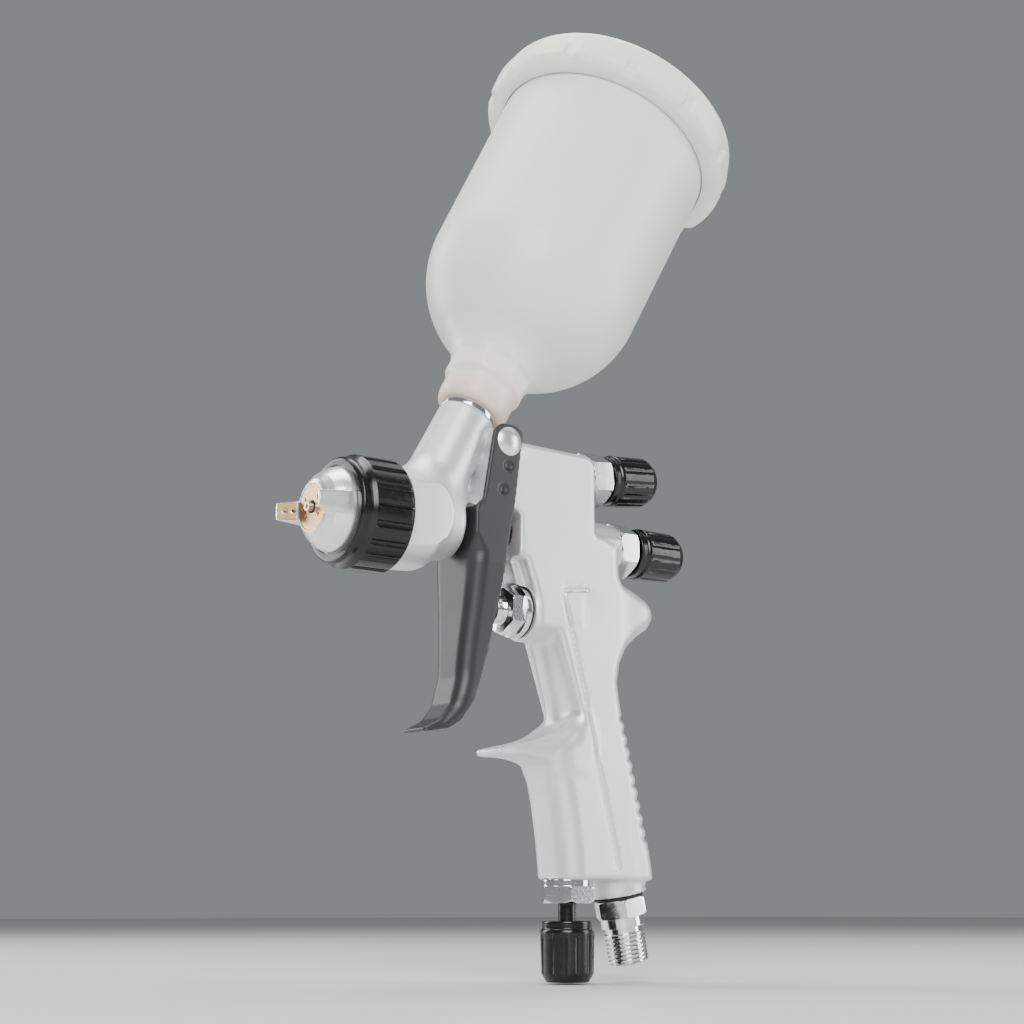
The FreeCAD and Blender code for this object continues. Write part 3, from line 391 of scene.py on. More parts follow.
def grained(tree, shader, grain_mm, depth_mm, stretch=(1, 1, 1), low=None, high=None, detail=2.0):
    """Give the surface a fine relief of the given grain size, and a roughness that varies with it."""
    place = add(tree, "ShaderNodeTexCoord").outputs["Object"]
    turned_place = add(tree, "ShaderNodeMapping", {"Vector": place, "Scale": stretch}).outputs["Vector"]
    noise = add(tree, "ShaderNodeTexNoise", {
        "Vector": turned_place, "Scale": 1 / (grain_mm * MM), "Detail": detail})
    relief = add(tree, "ShaderNodeBump", {
        "Height": noise.outputs["Fac"], "Distance": depth_mm * MM, "Strength": 1.0})
    tree.links.new(relief.outputs["Normal"], shader.inputs["Normal"])
    if low is not None:
        spread = add(tree, "ShaderNodeMapRange", {
            "Value": noise.outputs["Fac"], "From Min": 0.3, "From Max": 0.7, "To Min": low, "To Max": high})
        tree.links.new(spread.outputs["Result"], shader.inputs["Roughness"])
    return place


def clouded(tree, shader, place, first, second, size_mm):
    """Let the colour drift between two close shades over patches of the given size."""
    patches = add(tree, "ShaderNodeTexNoise", {"Vector": place, "Scale": 1 / (size_mm * MM), "Detail": 3.0})
    blend = add(tree, "ShaderNodeMix", {
        "Factor": patches.outputs["Fac"], "A": first, "B": second}, data_type="RGBA")
    tree.links.new(blend.outputs["Result"], shader.inputs["Base Color"])


def blasted_aluminium():
    """Pressure die-cast aluminium, fine-blasted and clear-coated: pale, soft highlights, faint grain."""
    colour = tuple(settings().casting_colour)
    material, tree, shader = surface("blasted_aluminium", colour, 0.72, 0.44)
    place = grained(tree, shader, 0.35, 0.006, low=0.39, high=0.49)
    clouded(tree, shader, place, colour, shaded(colour, "#DCDDDF", "#E8E9E9"), 18.0)
    return material


def bright_chrome():
    """Decorative chrome on turned brass: nearly a mirror, with a trace of lathe rings."""
    material, tree, shader = surface("bright_chrome", linear("#E8E8EA"), 1.0, 0.12)
    grained(tree, shader, 0.8, 0.0008, low=0.09, high=0.15)
    return material


def nickel_plate():
    """Nickel on machined brass: bright and slightly soft, with fine tool marks."""
    material, tree, shader = surface("nickel_plate", linear("#F0F0EE"), 0.85, 0.3)
    grained(tree, shader, 0.25, 0.002, low=0.26, high=0.34)
    return material


def machined_brass():
    """Bare turned brass: warm, satin, with fine tool marks."""
    material, tree, shader = surface("machined_brass", linear("#D0AE7C"), 1.0, 0.3)
    place = grained(tree, shader, 0.2, 0.003, low=0.26, high=0.38)
    clouded(tree, shader, place, linear("#C9A26C"), linear("#DABB8E"), 3.0)
    return material


def ground_stainless():
    """Centreless-ground stainless steel: grey, satin, drawn out round the bar."""
    material, tree, shader = surface("ground_stainless", linear("#BDBCBA"), 1.0, 0.28)
    grained(tree, shader, 0.15, 0.002, stretch=(1, 0.2, 0.2), low=0.22, high=0.34)
    return material


def glossy_nylon():
    """Glass-filled black nylon moulded in a polished tool: deep black, glossy, faintly uneven."""
    material, tree, shader = surface(
        "glossy_nylon", tuple(settings().knob_colour), 0.0, 0.22, IOR=1.48)
    grained(tree, shader, 1.5, 0.003, low=0.18, high=0.28)
    return material


def anthracite_coat():
    """Anthracite coating on formed sheet steel: dark grey, satin, with a fine even texture."""
    colour = tuple(settings().trigger_colour)
    material, tree, shader = surface("anthracite_coat", colour, 0.0, 0.42, IOR=1.5)
    place = grained(tree, shader, 0.3, 0.004, low=0.37, high=0.47)
    clouded(tree, shader, place, colour, shaded(colour, "#242426", "#2A2A2C"), 12.0)
    return material


def milky_polypropylene():
    """Natural polypropylene, moulded: milky white, light spreads inside it, a waxy gloss, and a painted
    shade, darker and warmer, at the neck's lower end where it meets the nipple."""
    colour = tuple(settings().cup_colour)
    material, tree, shader = surface(
        "milky_polypropylene", colour, 0.0, 0.36, IOR=1.49, Subsurface_Weight=0.55,
        Subsurface_Scale=0.004)
    shader.inputs["Subsurface Radius"].default_value = (1.0, 0.92, 0.8)
    place = grained(tree, shader, 2.5, 0.01, low=0.32, high=0.42)
    along = add(tree, "ShaderNodeVectorMath", {0: place, 1: tuple(CUP_AXIS)}, operation="DOT_PRODUCT")
    neck = float(CUP.zero @ CUP.along)
    # Painted shade: the cup's colour turns darker and warmer towards the neck's lower end, where it meets the
    # chromed nipple.
    painted_shade = add(tree, "ShaderNodeMapRange", {
        "Value": along.outputs["Value"], "From Min": neck + 43.2 * MM, "From Max": neck + 60 * MM,
        "To Min": 1.0, "To Max": 0.0}, interpolation_type="SMOOTHSTEP")
    blend = add(tree, "ShaderNodeMix", {
        "Factor": painted_shade.outputs["Result"], "A": colour, "B": shaded(colour, "#F1F1EB", "#E9D6C8")},
        data_type="RGBA")
    tree.links.new(blend.outputs["Result"], shader.inputs["Base Color"])
    return material


def natural_ptfe():
    """Natural PTFE and polyethylene: soft white and waxy."""
    material, tree, shader = surface("natural_ptfe", linear("#E6E5DF"), 0.0, 0.45, IOR=1.38)
    grained(tree, shader, 0.6, 0.004, low=0.4, high=0.52)
    return material


def nitrile():
    """Black nitrile rubber seals: matt and slightly dusty."""
    material, tree, shader = surface("nitrile", linear("#161616"), 0.0, 0.6, IOR=1.52)
    grained(tree, shader, 0.3, 0.004, low=0.55, high=0.7)
    return material


FINISHES = {
    "satin_aluminium": blasted_aluminium, "nickel_brass": nickel_plate, "chrome": bright_chrome,
    "stainless": ground_stainless, "brass": machined_brass, "black_plastic": glossy_nylon,
    "anthracite": anthracite_coat, "milky_plastic": milky_polypropylene,
    "white_plastic": natural_ptfe, "black_rubber": nitrile,
}
made_finishes = {}


def finish_of(slot):
    """The material of one of the record's slots, made when it is first asked for."""
    if slot not in made_finishes:
        made_finishes[slot] = FINISHES[slot]()
    return made_finishes[slot]


def paint(piece, slot):
    """Give a piece its slot's material."""
    piece.data.materials.clear()
    piece.data.materials.append(finish_of(slot))
    return piece


# ---------------------------------------------------------------- casting

def ramp(value):
    """Nought below 0 and one above 1, with a smooth cubic between."""
    value = np.clip(value, 0, 1)
    return value * value * (3 - 2 * value)


def casting_masses(x, y, z, step):
    """The casting's solid masses, joined with the fillets of a casting."""
    def view(corners, soft):
        return side_view(x, z, corners, step, soft)

    nose = lathe(x, np.hypot(y, z), [
        (-53, 0), (-53, 13), (-39, 13), (-39, 16.1), (-27.4, 15.3), (-25.2, 14.0), (-21.6, 11.6),
        (-17, 10.4), (-12, 9.8), (5, 9.4), (5, 0)], step, soft=1.2)
    top = 41.0
    boss = rod(x, y, z, (CUP_FOOT, 0), CUP_LEAN, 10.3, 0, top, taper=-1.0 / 41.5)
    body = joined(nose, boss, 7.0)
    body = np.maximum(body, (x - CUP_FOOT) * CUP_LEAN[0] + z * CUP_LEAN[1] - top + 0 * y)

    waist = plate(view([(5.5, -9), (13, -9), (16, -24), (12.5, -24), (7.5, -15)], 0.0), y, 5.6, 1.0)
    flank = view([
        (-9.4, -7), (-8.6, 6), (-7.4, 12), (-6, 19), (-3.4, PIVOT_UP + 0.6), (4, PIVOT_UP + 1.4),
        (34, PIVOT_UP + 0.8), (37.2, PIVOT_UP - 1.6), (37.2, 2), (48.4, 1.6), (48.9, -10),
        (50.4, -12.4), (57, -14.0), (62.6, -16.0), (65.6, -18.8), (66.2, -22.4), (64, -26.2),
        (57.6, -30.0), (52.2, -34.0), (48.8, -39.6), (47.7, -46), (48.8, -53), (51.6, -63),
        (54.2, -73), (57.6, -87), (60.9, -101), (62.9, -114), (63.6, -126), (27, -126), (25.3, -112),
        (23.9, -98), (21.9, -85), (19.4, -75), (22, -70), (28.6, -66.6), (31.4, -59.7),
        (21.6, -30.6), (13.6, -30.4), (13.4, -22), (8.4, -8.6), (3, -8)], 0.7)
    rear = ramp((x - 38) / 7) * ramp((3 - z) / 3)
    front = ramp((-69 - z) / 6) * ramp((38 - x) / 8)
    tail = ramp((x - 46) / 18) * ramp((-10 - z) / 3) * ramp((z + 46) / 10)
    side = plate(flank, y, CASTING_HALF - 3.4 * tail, 1.8 + 3.0 * rear + 5.4 * front)
    body = joined(joined(body, waist, 0.6), side, 1.2)
    pivot_boss = np.maximum(np.hypot(x, z - PIVOT_UP) - 5.4, np.abs(y) - 10.7)
    body = np.minimum(body, pivot_boss)
    body = joined(body, rod(x, y, z, (0, 0), (1, 0), 8.4, 20, FLUID_FACE), 2.4)

    column = plate(view(flowing([
        (15, -24), (30, -24), (34, -44), (36, -60), (36, -72), (24, -72), (19.6, -68.6), (22, -64.4),
        (25.2, -61), (25.4, -55), (22.6, -44), (19.6, -33.4), (16.4, -29.6)]), 0.4), y, 6.0, 5.4)
    body = joined(body, column, 3.2)
    hook = plate(view(flowing([
        (0.4, -70.0), (1.2, -69.0), (6, -67.9), (13, -66.3), (20, -64.0), (26, -60.4), (34, -56),
        (38, -66), (34, -77), (23, -76.8), (19.4, -73.8), (15, -72.2), (8, -71.3), (1.6, -71.2)]), 0.2),
        y, 6.2 + 4.2 * ramp((x - 4) / 24), np.clip(1.1 + 0.16 * (x - 6), 1.0, 4.0))
    body = joined(body, hook, 2.4)
    body = carved(body, z - GRIP_FOOT + 0 * x + 0 * y, 1.4)

    body = joined(body, rod(x, y, z, (0, -VALVE_DOWN), (1, 0), 8.9, 13, 30, taper=0.04), 2.0)
    body = joined(body, rod(x, y, z, FAN_PLACE, FAN_LEAN, 8.5, -14, 0.9), 0.8)
    return joined(body, rod(x, y, z, INLET_PLACE, INLET_LEAN, 9.3, -46, -22.45), 1.6)


def casting_cuts(body, x, y, z, step):
    """The window, bores, panel groove and grip serrations taken out of the casting's masses."""
    window = side_view(x, z, [
        (-15, -9.2), (-13.6, -14), (-13.2, -20), (0, -20), (0, -12.2), (3, -10.9), (6, -8.4),
        (6.4, 4.8), (4.8, 6.5), (-12.8, 6.6), (-14.8, 4.4)], step, 0.7)
    body = carved(body, window + 0 * y, 0.8)
    body = carved(body, rod(x, y, z, (0, -VALVE_DOWN), (1, 0), 9.2, -2, 13), 0.3)
    needle_way = lathe(x, np.hypot(y, z), [
        (-54, 0), (-54, 6.1), (-36, 6.1), (-36, 4.6), (-21, 4.6), (-21, 3.4), (-10, 3.4), (-10, 5.2),
        (38, 5.2), (38, BUSH_BORE), (52, BUSH_BORE), (52, 0)], step, soft=0)
    bores = [
        ((CUP_FOOT, 0), CUP_LEAN, 4.4, 0, 28), ((CUP_FOOT, 0), CUP_LEAN, BUSH_BORE, 27, 43),
        ((0, -VALVE_DOWN), (1, 0), BUSH_BORE, 12, 24), ((0, -VALVE_DOWN), (1, 0), 5.6, 23, 36),
        (FAN_PLACE, FAN_LEAN, BUSH_BORE, -12, 3), (FAN_PLACE, FAN_LEAN, 6.0, -26, -11),
        (REGULATOR_PLACE, (0, -1), BUSH_BORE, -12, 3), (REGULATOR_PLACE, (0, -1), 3.4, -27, -11),
        (INLET_PLACE, INLET_LEAN, 6.1, -36, -21), (INLET_PLACE, INLET_LEAN, 4.4, -60, -35)]
    body = np.maximum(body, -needle_way)
    for bore in bores:
        body = np.maximum(body, -rod(x, y, z, *bore))

    seam = np.full(np.broadcast(x, z).shape, 1e9, np.float32)
    path = [(32.9, -16.7), (25.6, -17.4), (23.9, -18.0), (23.5, -19.9), (45.4, -105.2)]
    for (x0, z0), (x1, z1) in zip(path, path[1:]):
        run, rise = x1 - x0, z1 - z0
        share = np.clip(((x - x0) * run + (z - z0) * rise) / (run * run + rise * rise), 0, 1)
        seam = np.minimum(seam, np.hypot(x - x0 - share * run, z - z0 - share * rise))
    deep = 0.55
    body = carved(body, np.maximum(seam - deep, CASTING_HALF - deep - np.abs(y)), 0.3)

    lean = unit((54 - 60.8, -72 + 101))
    down = -((x - 48.8) * lean[0] + (z + 53) * lean[1])
    out = (x - 48.8) * lean[1] - (z + 53) * lean[0]
    pitch, depth = 4.4, 0.9
    wave = depth * (1 - np.abs(np.sin(math.pi * down / pitch)))
    fade = np.clip(np.minimum(down - 1, 48 - down) / 2, 0, 1) * np.clip((out + 4.5) / 2.5, 0, 1)
    return (body + wave * fade).astype(np.float32)


def make_casting(step):
    """The die casting: a distance field of plates, rods and turned masses, skinned where it is zero."""
    low, high = (-54.0, -12.4, -116.0), (67.4, 12.4, 42.6)
    x, y, z = box_of_points(low, high, step)
    body = casting_cuts(casting_masses(x, y, z, step), x, y, z, step)
    return paint(skin("casting", body, low, step, "gun", ["gun_body"], 42.0),
                 "satin_aluminium")


# ---------------------------------------------------------------- trigger

def make_trigger(step):
    """The formed sheet trigger: an outer channel with bent corners less the same channel inside it,
    trimmed to its side view, with the web's top edge, the needle's hole and the dimples."""
    low, high = (-30.0, -13.2, -69.2), (6.8, 13.2, 34.6)
    x, y, z = box_of_points(low, high, step)
    sheet = 1.5
    back = [(5.6, PIVOT_UP + 3.4), (2.6, 8.6), (-0.8, -9), (-2.8, -24), (-5.6, -40), (-8.2, -49),
            (-10.6, -55.4), (-14.6, -61.4), (-19, -64.2), (-27, -65.6)]
    nose = [(-27.6, -64.4), (-21.4, -61.4), (-17.2, -56), (-15.0, -48), (-13.6, -28), (-12.8, -8),
            (-12.5, 4.8), (-11.8, 6.4), (-9.8, 7.6)]
    front = [(-5.6, PIVOT_UP + 3.4), (-2.4, PIVOT_UP + 9), (20, PIVOT_UP + 9), (20, -80), (-40, -80)] + nose
    lip = [(-5.6, PIVOT_UP + 3.4), (-2.8, PIVOT_UP + 5.6), (2.8, PIVOT_UP + 5.6)] + back + nose
    face = side_view(x, z, front, step, 0.8)
    shape = side_view(x, z, lip, step, 0.6)
    half = np.interp(z, (-67, -62, -54, -46, -38, -12), (6.0, 7.6, 8.6, 8.4, 9.0, 12.4)).astype(np.float32)
    bend = np.interp(z, (-66, -58, -9, -3), (2.4, 4.4, 5.2, 0.5)).astype(np.float32)
    outer = plate(face, y, half, bend)
    inner = plate(face + sheet, y, half - sheet, np.maximum(bend - sheet, 0.3))
    body = np.maximum(np.maximum(outer, -inner), shape)
    body = carved(body, np.maximum(np.abs(y) - 10.9, 5.7 - z) + 0 * x, 0.4)
    body = np.maximum(body, 2.4 - np.hypot(y, z) + 0 * x)
    for across, up in ((-0.4, 19.4), (-2.4, 11.7)):
        ball = np.sqrt((x - across) ** 2 + (np.abs(y) - 14.0) ** 2 + (z - up) ** 2) - 2.35
        body = carved(body, ball, 0.25)
    body = np.maximum(body, 2.6 - np.hypot(x, z - PIVOT_UP) + 0 * y)
    piece = skin("trigger_lever", body, low, step, "trigger", ["trigger"], 50.0)
    return paint(piece, "anthracite")


# ---------------------------------------------------------------- spray head

def make_air_cap(step):
    """The air cap: a turned cone with two horns, its centre bored out between them down to the brass."""
    low, high = (-70.2, -15.0, -15.0), (-54.2, 15.0, 15.0)
    x, y, z = box_of_points(low, high, step)
    radius = np.hypot(y, z)
    cone = lathe(x, radius, [
        (-66.3, 0), (-66.1, 3.4), (-65.5, 6.0), (-64.2, 8.6), (-62.4, 10.6), (-60.2, 12.1), (-57.9, 13.0),
        (-57, 13.1), (-55.9, 13.1), (-55.9, 14.3), (-54.7, 14.3), (-54.7, 11.6), (-57, 11.6),
        (-61.2, 5.2), (-63.0, 4.2), (-63.2, 0)], step, soft=0.2)
    tall = 2.6 + 0.09 * (x + 69)
    slope = (7.2 + 0.95 * np.maximum(-64.6 - x, 0) - np.abs(y)) / 1.38
    horns = np.maximum(np.maximum(np.abs(z) - tall, radius - 13.0), np.maximum(-69.5 - x, x + 56.8))
    horns = np.maximum(horns, slope)
    scoop = np.maximum(radius - 7.2, x + 64.6)
    body = joined(carved(cone, scoop, 0.3), horns, 0.35)
    body = np.maximum(body, 1.95 - radius)
    for station in (-67.9, -65.9):
        drill = np.maximum(np.hypot(x - station, z) - 0.5, np.abs(np.abs(y) - 9.6) - 3.0)
        body = np.maximum(body, -drill)
    for side, up in ((3.6, 2.6), (3.6, -2.6), (5.4, 0.0)):
        drill = np.maximum(np.hypot(np.abs(y) - side, z - up) - 0.42, x + 62)
        body = np.maximum(body, -drill)
    piece = skin("air_cap_cone", body, low, step, "cap", ["air_cap"], 38.0)
    paint(piece, "nickel_brass")
    piece.data.materials.append(finish_of("brass"))
    faces = len(piece.data.polygons)
    middle = np.zeros(faces * 3)
    piece.data.polygons.foreach_get("center", middle)
    middle = (middle.reshape(-1, 3) - ZERO) / MM
    reach = 7.32 + 0.95 * np.maximum(-64.6 - middle[:, 0], 0)
    bare = ((np.hypot(middle[:, 1], middle[:, 2]) < 7.32) & (middle[:, 0] < -63.9)
            | (np.abs(middle[:, 1]) < reach) & (middle[:, 0] < -65.2) & (middle[:, 0] > -69.35))
    piece.data.polygons.foreach_set("material_index", bare.astype(int))
    return piece


def make_head_ring():
    """The threaded ring that holds the cap, and the black grip moulded round it and over its lip."""
    ring = turned("head_ring", NEEDLE, eased([
        (13.5, -56), (14.9, -56), (14.9, -54.7), (15.8, -54.5), (15.8, -39.3), (13.05, -39.3),
        (13.05, -53.6), (14.7, -53.6), (14.7, -55), (13.5, -55), (13.5, -56)], 0.15),
        "ring", ["retaining_ring"], sides=160)
    paint(ring, "nickel_brass")
    rows = refined(eased([
        (15.8, -54.4), (14.9, -54.6), (14.9, -55.6), (13.55, -55.8), (13.5, -56.6), (13.8, -56.8),
        (15.6, -56.8), (16.4, -56.0), (16.4, -54.2), (16.8, -53.2), (17.6, -52.2), (17.6, -39.7),
        (16.9, -38.5), (16.3, -38.5), (16.3, -39.3), (15.8, -39.3), (15.8, -54.4)], 0.2), 0.5)
    cut = grooves(18, 17.95, 1.15, -52.2, -39.0, run_out=0.6)
    grip = turned("head_grip", NEEDLE, rows, "ring", ["ring_grip"], sides=432, ripple=cut)
    paint(grip, "black_plastic")


# ---------------------------------------------------------------- controls and fittings

def make_knob(name, axis, start, body, node, bore):
    """A moulded knob: open hollow collar, shallow flutes and a chamfered closed end."""
    length = 15.2
    rows = refined(eased([
        (bore, start + 4.4), (bore + 0.1, start + 2.6), (6.9, start + 1.4), (7.2, start), (7.9, start),
        (8.1, start + 0.4), (8.1, start + 2.4), (8.5, start + 2.8), (8.7, start + 3.4),
        (8.4, start + length + 1.2), (6.8, start + length + 4.0), (0, start + length + 4.2)], 0.3), 0.5)
    cut = grooves(settings().knob_flutes, 9.6, 1.5, start + 2.9, start + length + 3.6, run_out=2.0)
    knob = turned(name, axis, rows, body, [node], sides=288, ripple=cut)
    return paint(knob, "black_plastic")


def make_nut(name, axis, rows, body, slot, node, reach=0.25):
    """A turned and milled nut: the profile's rows with flats are cut to a hexagon."""
    nut = turned(name, axis, refined(eased(rows, reach), 0.3), body, [node], sides=192, crease=24.0)
    return paint(nut, slot)


def make_controls():
    """The fluid and fan controls on the back of the gun and the air regulator under the grip."""
    face, flats = FLUID_FACE, NUT_FLATS
    make_nut("fluid_nut", NEEDLE, [
        (3.4, 43), (6.5, 43), (6.5, face), (8.3, face), (8.3, face + 0.8), (8.8, face + 0.82, flats),
        (9.25, face + 1.2, flats), (9.25, face + 7.2, flats), (8.3, face + 7.95, flats), (7.8, face + 8),
        (5, face + 8), (5, face + 9), (3.4, face + 9), (3.4, 43)], "gun", "chrome", "fluid_bushing")
    make_knob("fluid_control_knob", NEEDLE, face + 9.6, "fluid_control", "fluid_knob", 5.4)
    make_nut("fan_nut", FAN, [
        (3.4, -11.6), (6.5, -11.6), (6.5, 0.9), (8.3, 0.9), (8.3, 1.4), (8.8, 1.42, flats),
        (9.25, 1.8, flats), (9.25, 8.6, flats), (8.3, 9.35, flats), (7.8, 9.4), (5, 9.4), (5, 10.2),
        (3.4, 10.2), (3.4, -11.6)], "gun", "chrome", "fan_bushing")
    make_knob("fan_control_knob", FAN, 10.6, "fan_control", "fan_knob", 5.4)
    make_nut("regulator_nut", FOOT, [
        (2.95, -11), (6.5, -11), (6.5, 0), (8.3, 0), (8.3, 2.1), (8.8, 2.12, flats),
        (9.25, 2.5, flats), (9.25, 6.6, flats), (8.3, 7.35, flats), (7.8, REGULATOR_NUT),
        (2.95, REGULATOR_NUT), (2.95, -11)],
        "gun", "chrome", "regulator_bushing")
    stem = turned("regulator_rod", FOOT, eased([
        (0, -15.4), (2.9, -15.4), (2.9, 18), (2.9, 23.2), (0, 23.2)], 0.2), "regulator_control",
        ["regulator_stem"], sides=64)
    paint(stem, "black_plastic")
    make_knob("regulator_control_knob", FOOT, 13.0, "regulator_control", "regulator_knob", 2.95)
    make_nut("air_valve_nut", VALVE, [
        (2.05, 1.4), (4.2, 1.4), (4.6, 1.8), (4.6, 5.4), (7.2, 5.4, 14.0), (8.1, 6.1, 14.0),
        (8.1, 10.2, 14.0), (8.5, 10.25), (8.6, 12.2), (6.5, 12.2), (6.5, 17), (2.05, 17),
        (2.05, 1.4)], "gun", "chrome", "valve_bushing")


def make_inlet():
    """The air inlet: a hexagon and collar, and a thread cut 0.8 mm deep at 1.337 mm pitch."""
    pitch, depth, crest = 1.337, 0.8, 6.58

    def thread(radius, station, angle):
        turn = (station / pitch - angle / math.tau) % 1.0
        cut = depth * np.clip(1.25 - np.abs(turn - 0.5) * 4.2, 0, 1)
        fade = np.clip((station + 9.6) / 0.8, 0, 1) * np.clip((-0.05 - station) / 0.3, 0, 1)
        outside = (radius > 5.5) & (radius < 6.7) & (station > -9.9)
        return np.where(outside, radius - cut * fade, radius)

    rows = refined(eased([
        (4.2, -32), (4.2, 0), (5.9, 0), (crest, -0.7), (crest, -10), (5.9, -10.2), (5.9, -12),
        (7, -12), (7, -15.4), (8.2, -15.4, 15.0), (8.65, -15.9, 15.0), (8.65, -20.7, 15.0),
        (8.1, -21.2, 15.0), (7.4, -21.2), (6, -21.2), (6, -32), (4.2, -32)], 0.2), 0.09)
    inlet = turned("inlet_union", INLET, rows, "gun", ["inlet_fitting"], sides=132,
                   ripple=thread, crease=40.0)
    paint(inlet, "chrome")


def make_pivot():
    """The domed head of the pivot pin on one side and the domed socket screw on the other."""
    angles = np.radians(np.linspace(0, 36, 10))
    dome = [(7.8 * math.sin(a), 12.5 + 7.8 * (math.cos(a) - math.cos(angles[-1]))) for a in angles]
    pin = [(r, -s) for r, s in dome] + [(2.5, -12.5), (2.5, 11), (0, 11)]
    piece = turned("pivot_button", CROSS, pin, "gun", ["pivot_pin"], sides=80, crease=40.0)
    paint(piece, "chrome").data.materials[0] = finish_of("nickel_brass")
    screw = [(0, 11), (2.5, 11), (2.5, 12.5)] + dome[:3:-1]
    screw += [(1.7, dome[3][1]), (1.5, 12.9, 2.6), (0, 12.9)]
    piece = turned("pivot_cap_screw", CROSS, screw, "gun", ["pivot_screw"], sides=96, crease=40.0)
    paint(piece, "chrome").data.materials[0] = finish_of("nickel_brass")


# ---------------------------------------------------------------- cup and lid

def make_cup():
    """The milky cup, turned about its leaning axis: neck, moulded six-sided collar, round bottom and
    flared wall, inside and out; and the chromed nipple that it screws onto."""
    outside, wall, centre, rim = 36.0, 1.8, 98.5, 169.0

    def bottom(radius, first, last):
        return [(radius * math.cos(math.radians(a)), centre - radius * math.sin(math.radians(a)))
                for a in np.linspace(first, last, 24)]

    neck = [(7.05, 43.4), (10.3, 43.4), (11.3, 44.4), (11.85, 46.4), (11.9, 52.6), (13.1, 54.2),
            (13.6, 56.4), (13.7, 59.6), (14.5, 62.6), (16.2, 64.9), (18.4, 66.9)]
    rows = eased(neck, 0.9) + [r + (0.0,) for r in bottom(outside, 55, 0)]
    rows += eased([(36.1, 106.0), (36.9, rim - 0.4), (36.5, rim), (35.5, rim), (35.1, rim - 0.4)], 0.2)
    rows += [r + (0.0,) for r in reversed(bottom(outside - wall, 77, 0))]
    rows += eased([(7.05, 60.5), (7.05, 50), (7.05, 43.4)], 0.2)

    def collar(radius, station, angle):
        inside = np.clip(1 - np.abs(station - 57.8) / 3.6, 0, 1) * (radius > 11)
        from_flat = (angle % (math.tau / 8)) - math.tau / 16
        flat = 12.9 / np.cos(from_flat)
        return radius + (np.minimum(radius, flat) - radius) * np.clip(inside * 3, 0, 1)

    cup = turned("paint_cup", CUP, refined(rows, 1.2), "cup", ["cup"], sides=240,
                 ripple=collar)
    paint(cup, "milky_plastic")
    nipple = eased([
        (4.4, 27.2), (6.5, 27.2), (6.5, 41.0), (9.25, 41.0), (9.25, 43.3), (7, 43.3), (7, 53.5),
        (4.4, 53.5), (4.4, 27.2)], 0.25)
    paint(turned("cup_nipple", CUP, nipple, "gun", ["cup_adapter"], sides=120), "chrome")


def make_lid():
    """The screw lid: a smooth skirt with raised pads whose lower ends are rounded, and its vent."""
    pads, skirt, rise = settings().lid_pads, 42.6, 1.2

    def grip_pads(radius, station, angle):
        share = math.tau / pads
        off = np.abs((angle % share) - share / 2) / (share / 2)
        side = np.clip((0.84 - off) / 0.05, 0, 1)
        side = side * side * (3 - 2 * side)
        foot = 158.9 + 2.2 * np.clip((off - 0.35) / 0.5, 0, 1) ** 2
        below = np.clip((station - foot) / 1.3, 0, 1)
        above = np.clip((167.0 - station) / 0.5, 0, 1)
        outer = radius > 38.5
        return np.where(outer & (station < 168), radius + rise * side * np.sqrt(below) * above, radius)

    rows = refined(eased([
        (3.1, 171.6), (3.1, 173.4), (24, 173.4), (25, 173.0), (41.0, 173.0), (42.2, 172.2),
        (skirt, 171.2), (42.5, 166.0), (42.3, 161.6), (40.8, 159.6), (38.8, 158.9), (37.05, 158.8),
        (37.2, 160.4), (38.1, 161.4), (38.1, 170.3), (31.9, 170.3), (31.9, 171.6), (3.1, 171.6)],
        0.4), 0.45)
    lid = turned("cup_screw_lid", CUP, rows, "lid", ["cup_lid"], sides=480,
                 ripple=grip_pads, crease=50.0)
    paint(lid, "milky_plastic")
    vent = eased([(0.8, 169.4), (3, 169.4), (3, 173.4), (4.6, 173.4), (4.6, 175.2), (3.9, 175.8),
                  (0.8, 175.8), (0.8, 169.4)], 0.3)
    paint(turned("vent_plug", CUP, vent, "lid", ["lid_vent"], sides=64), "white_plastic")


def finish_cad_pieces():
    """Every CAD piece that still shows gets its slot's material."""
    slots = {entry["node"]: entry["material_slot"] for entry in frame["record"]["subparts"]}
    for node, piece in frame["nodes"].items():
        if not piece.hide_render:
            if piece.material_slots:
                for place in piece.material_slots:
                    place.material = finish_of(slots[node])
            else:
                piece.data.materials.append(finish_of(slots[node]))


# ---------------------------------------------------------------- stage

def aimed(thing, place, target):
    """Put a lamp or camera at a place, looking at a target."""
    direction = unit(np.array(target) - np.array(place))
    thing.location = place
    thing.rotation_euler = Vector(direction.tolist()).to_track_quat("-Z", "Y").to_euler()


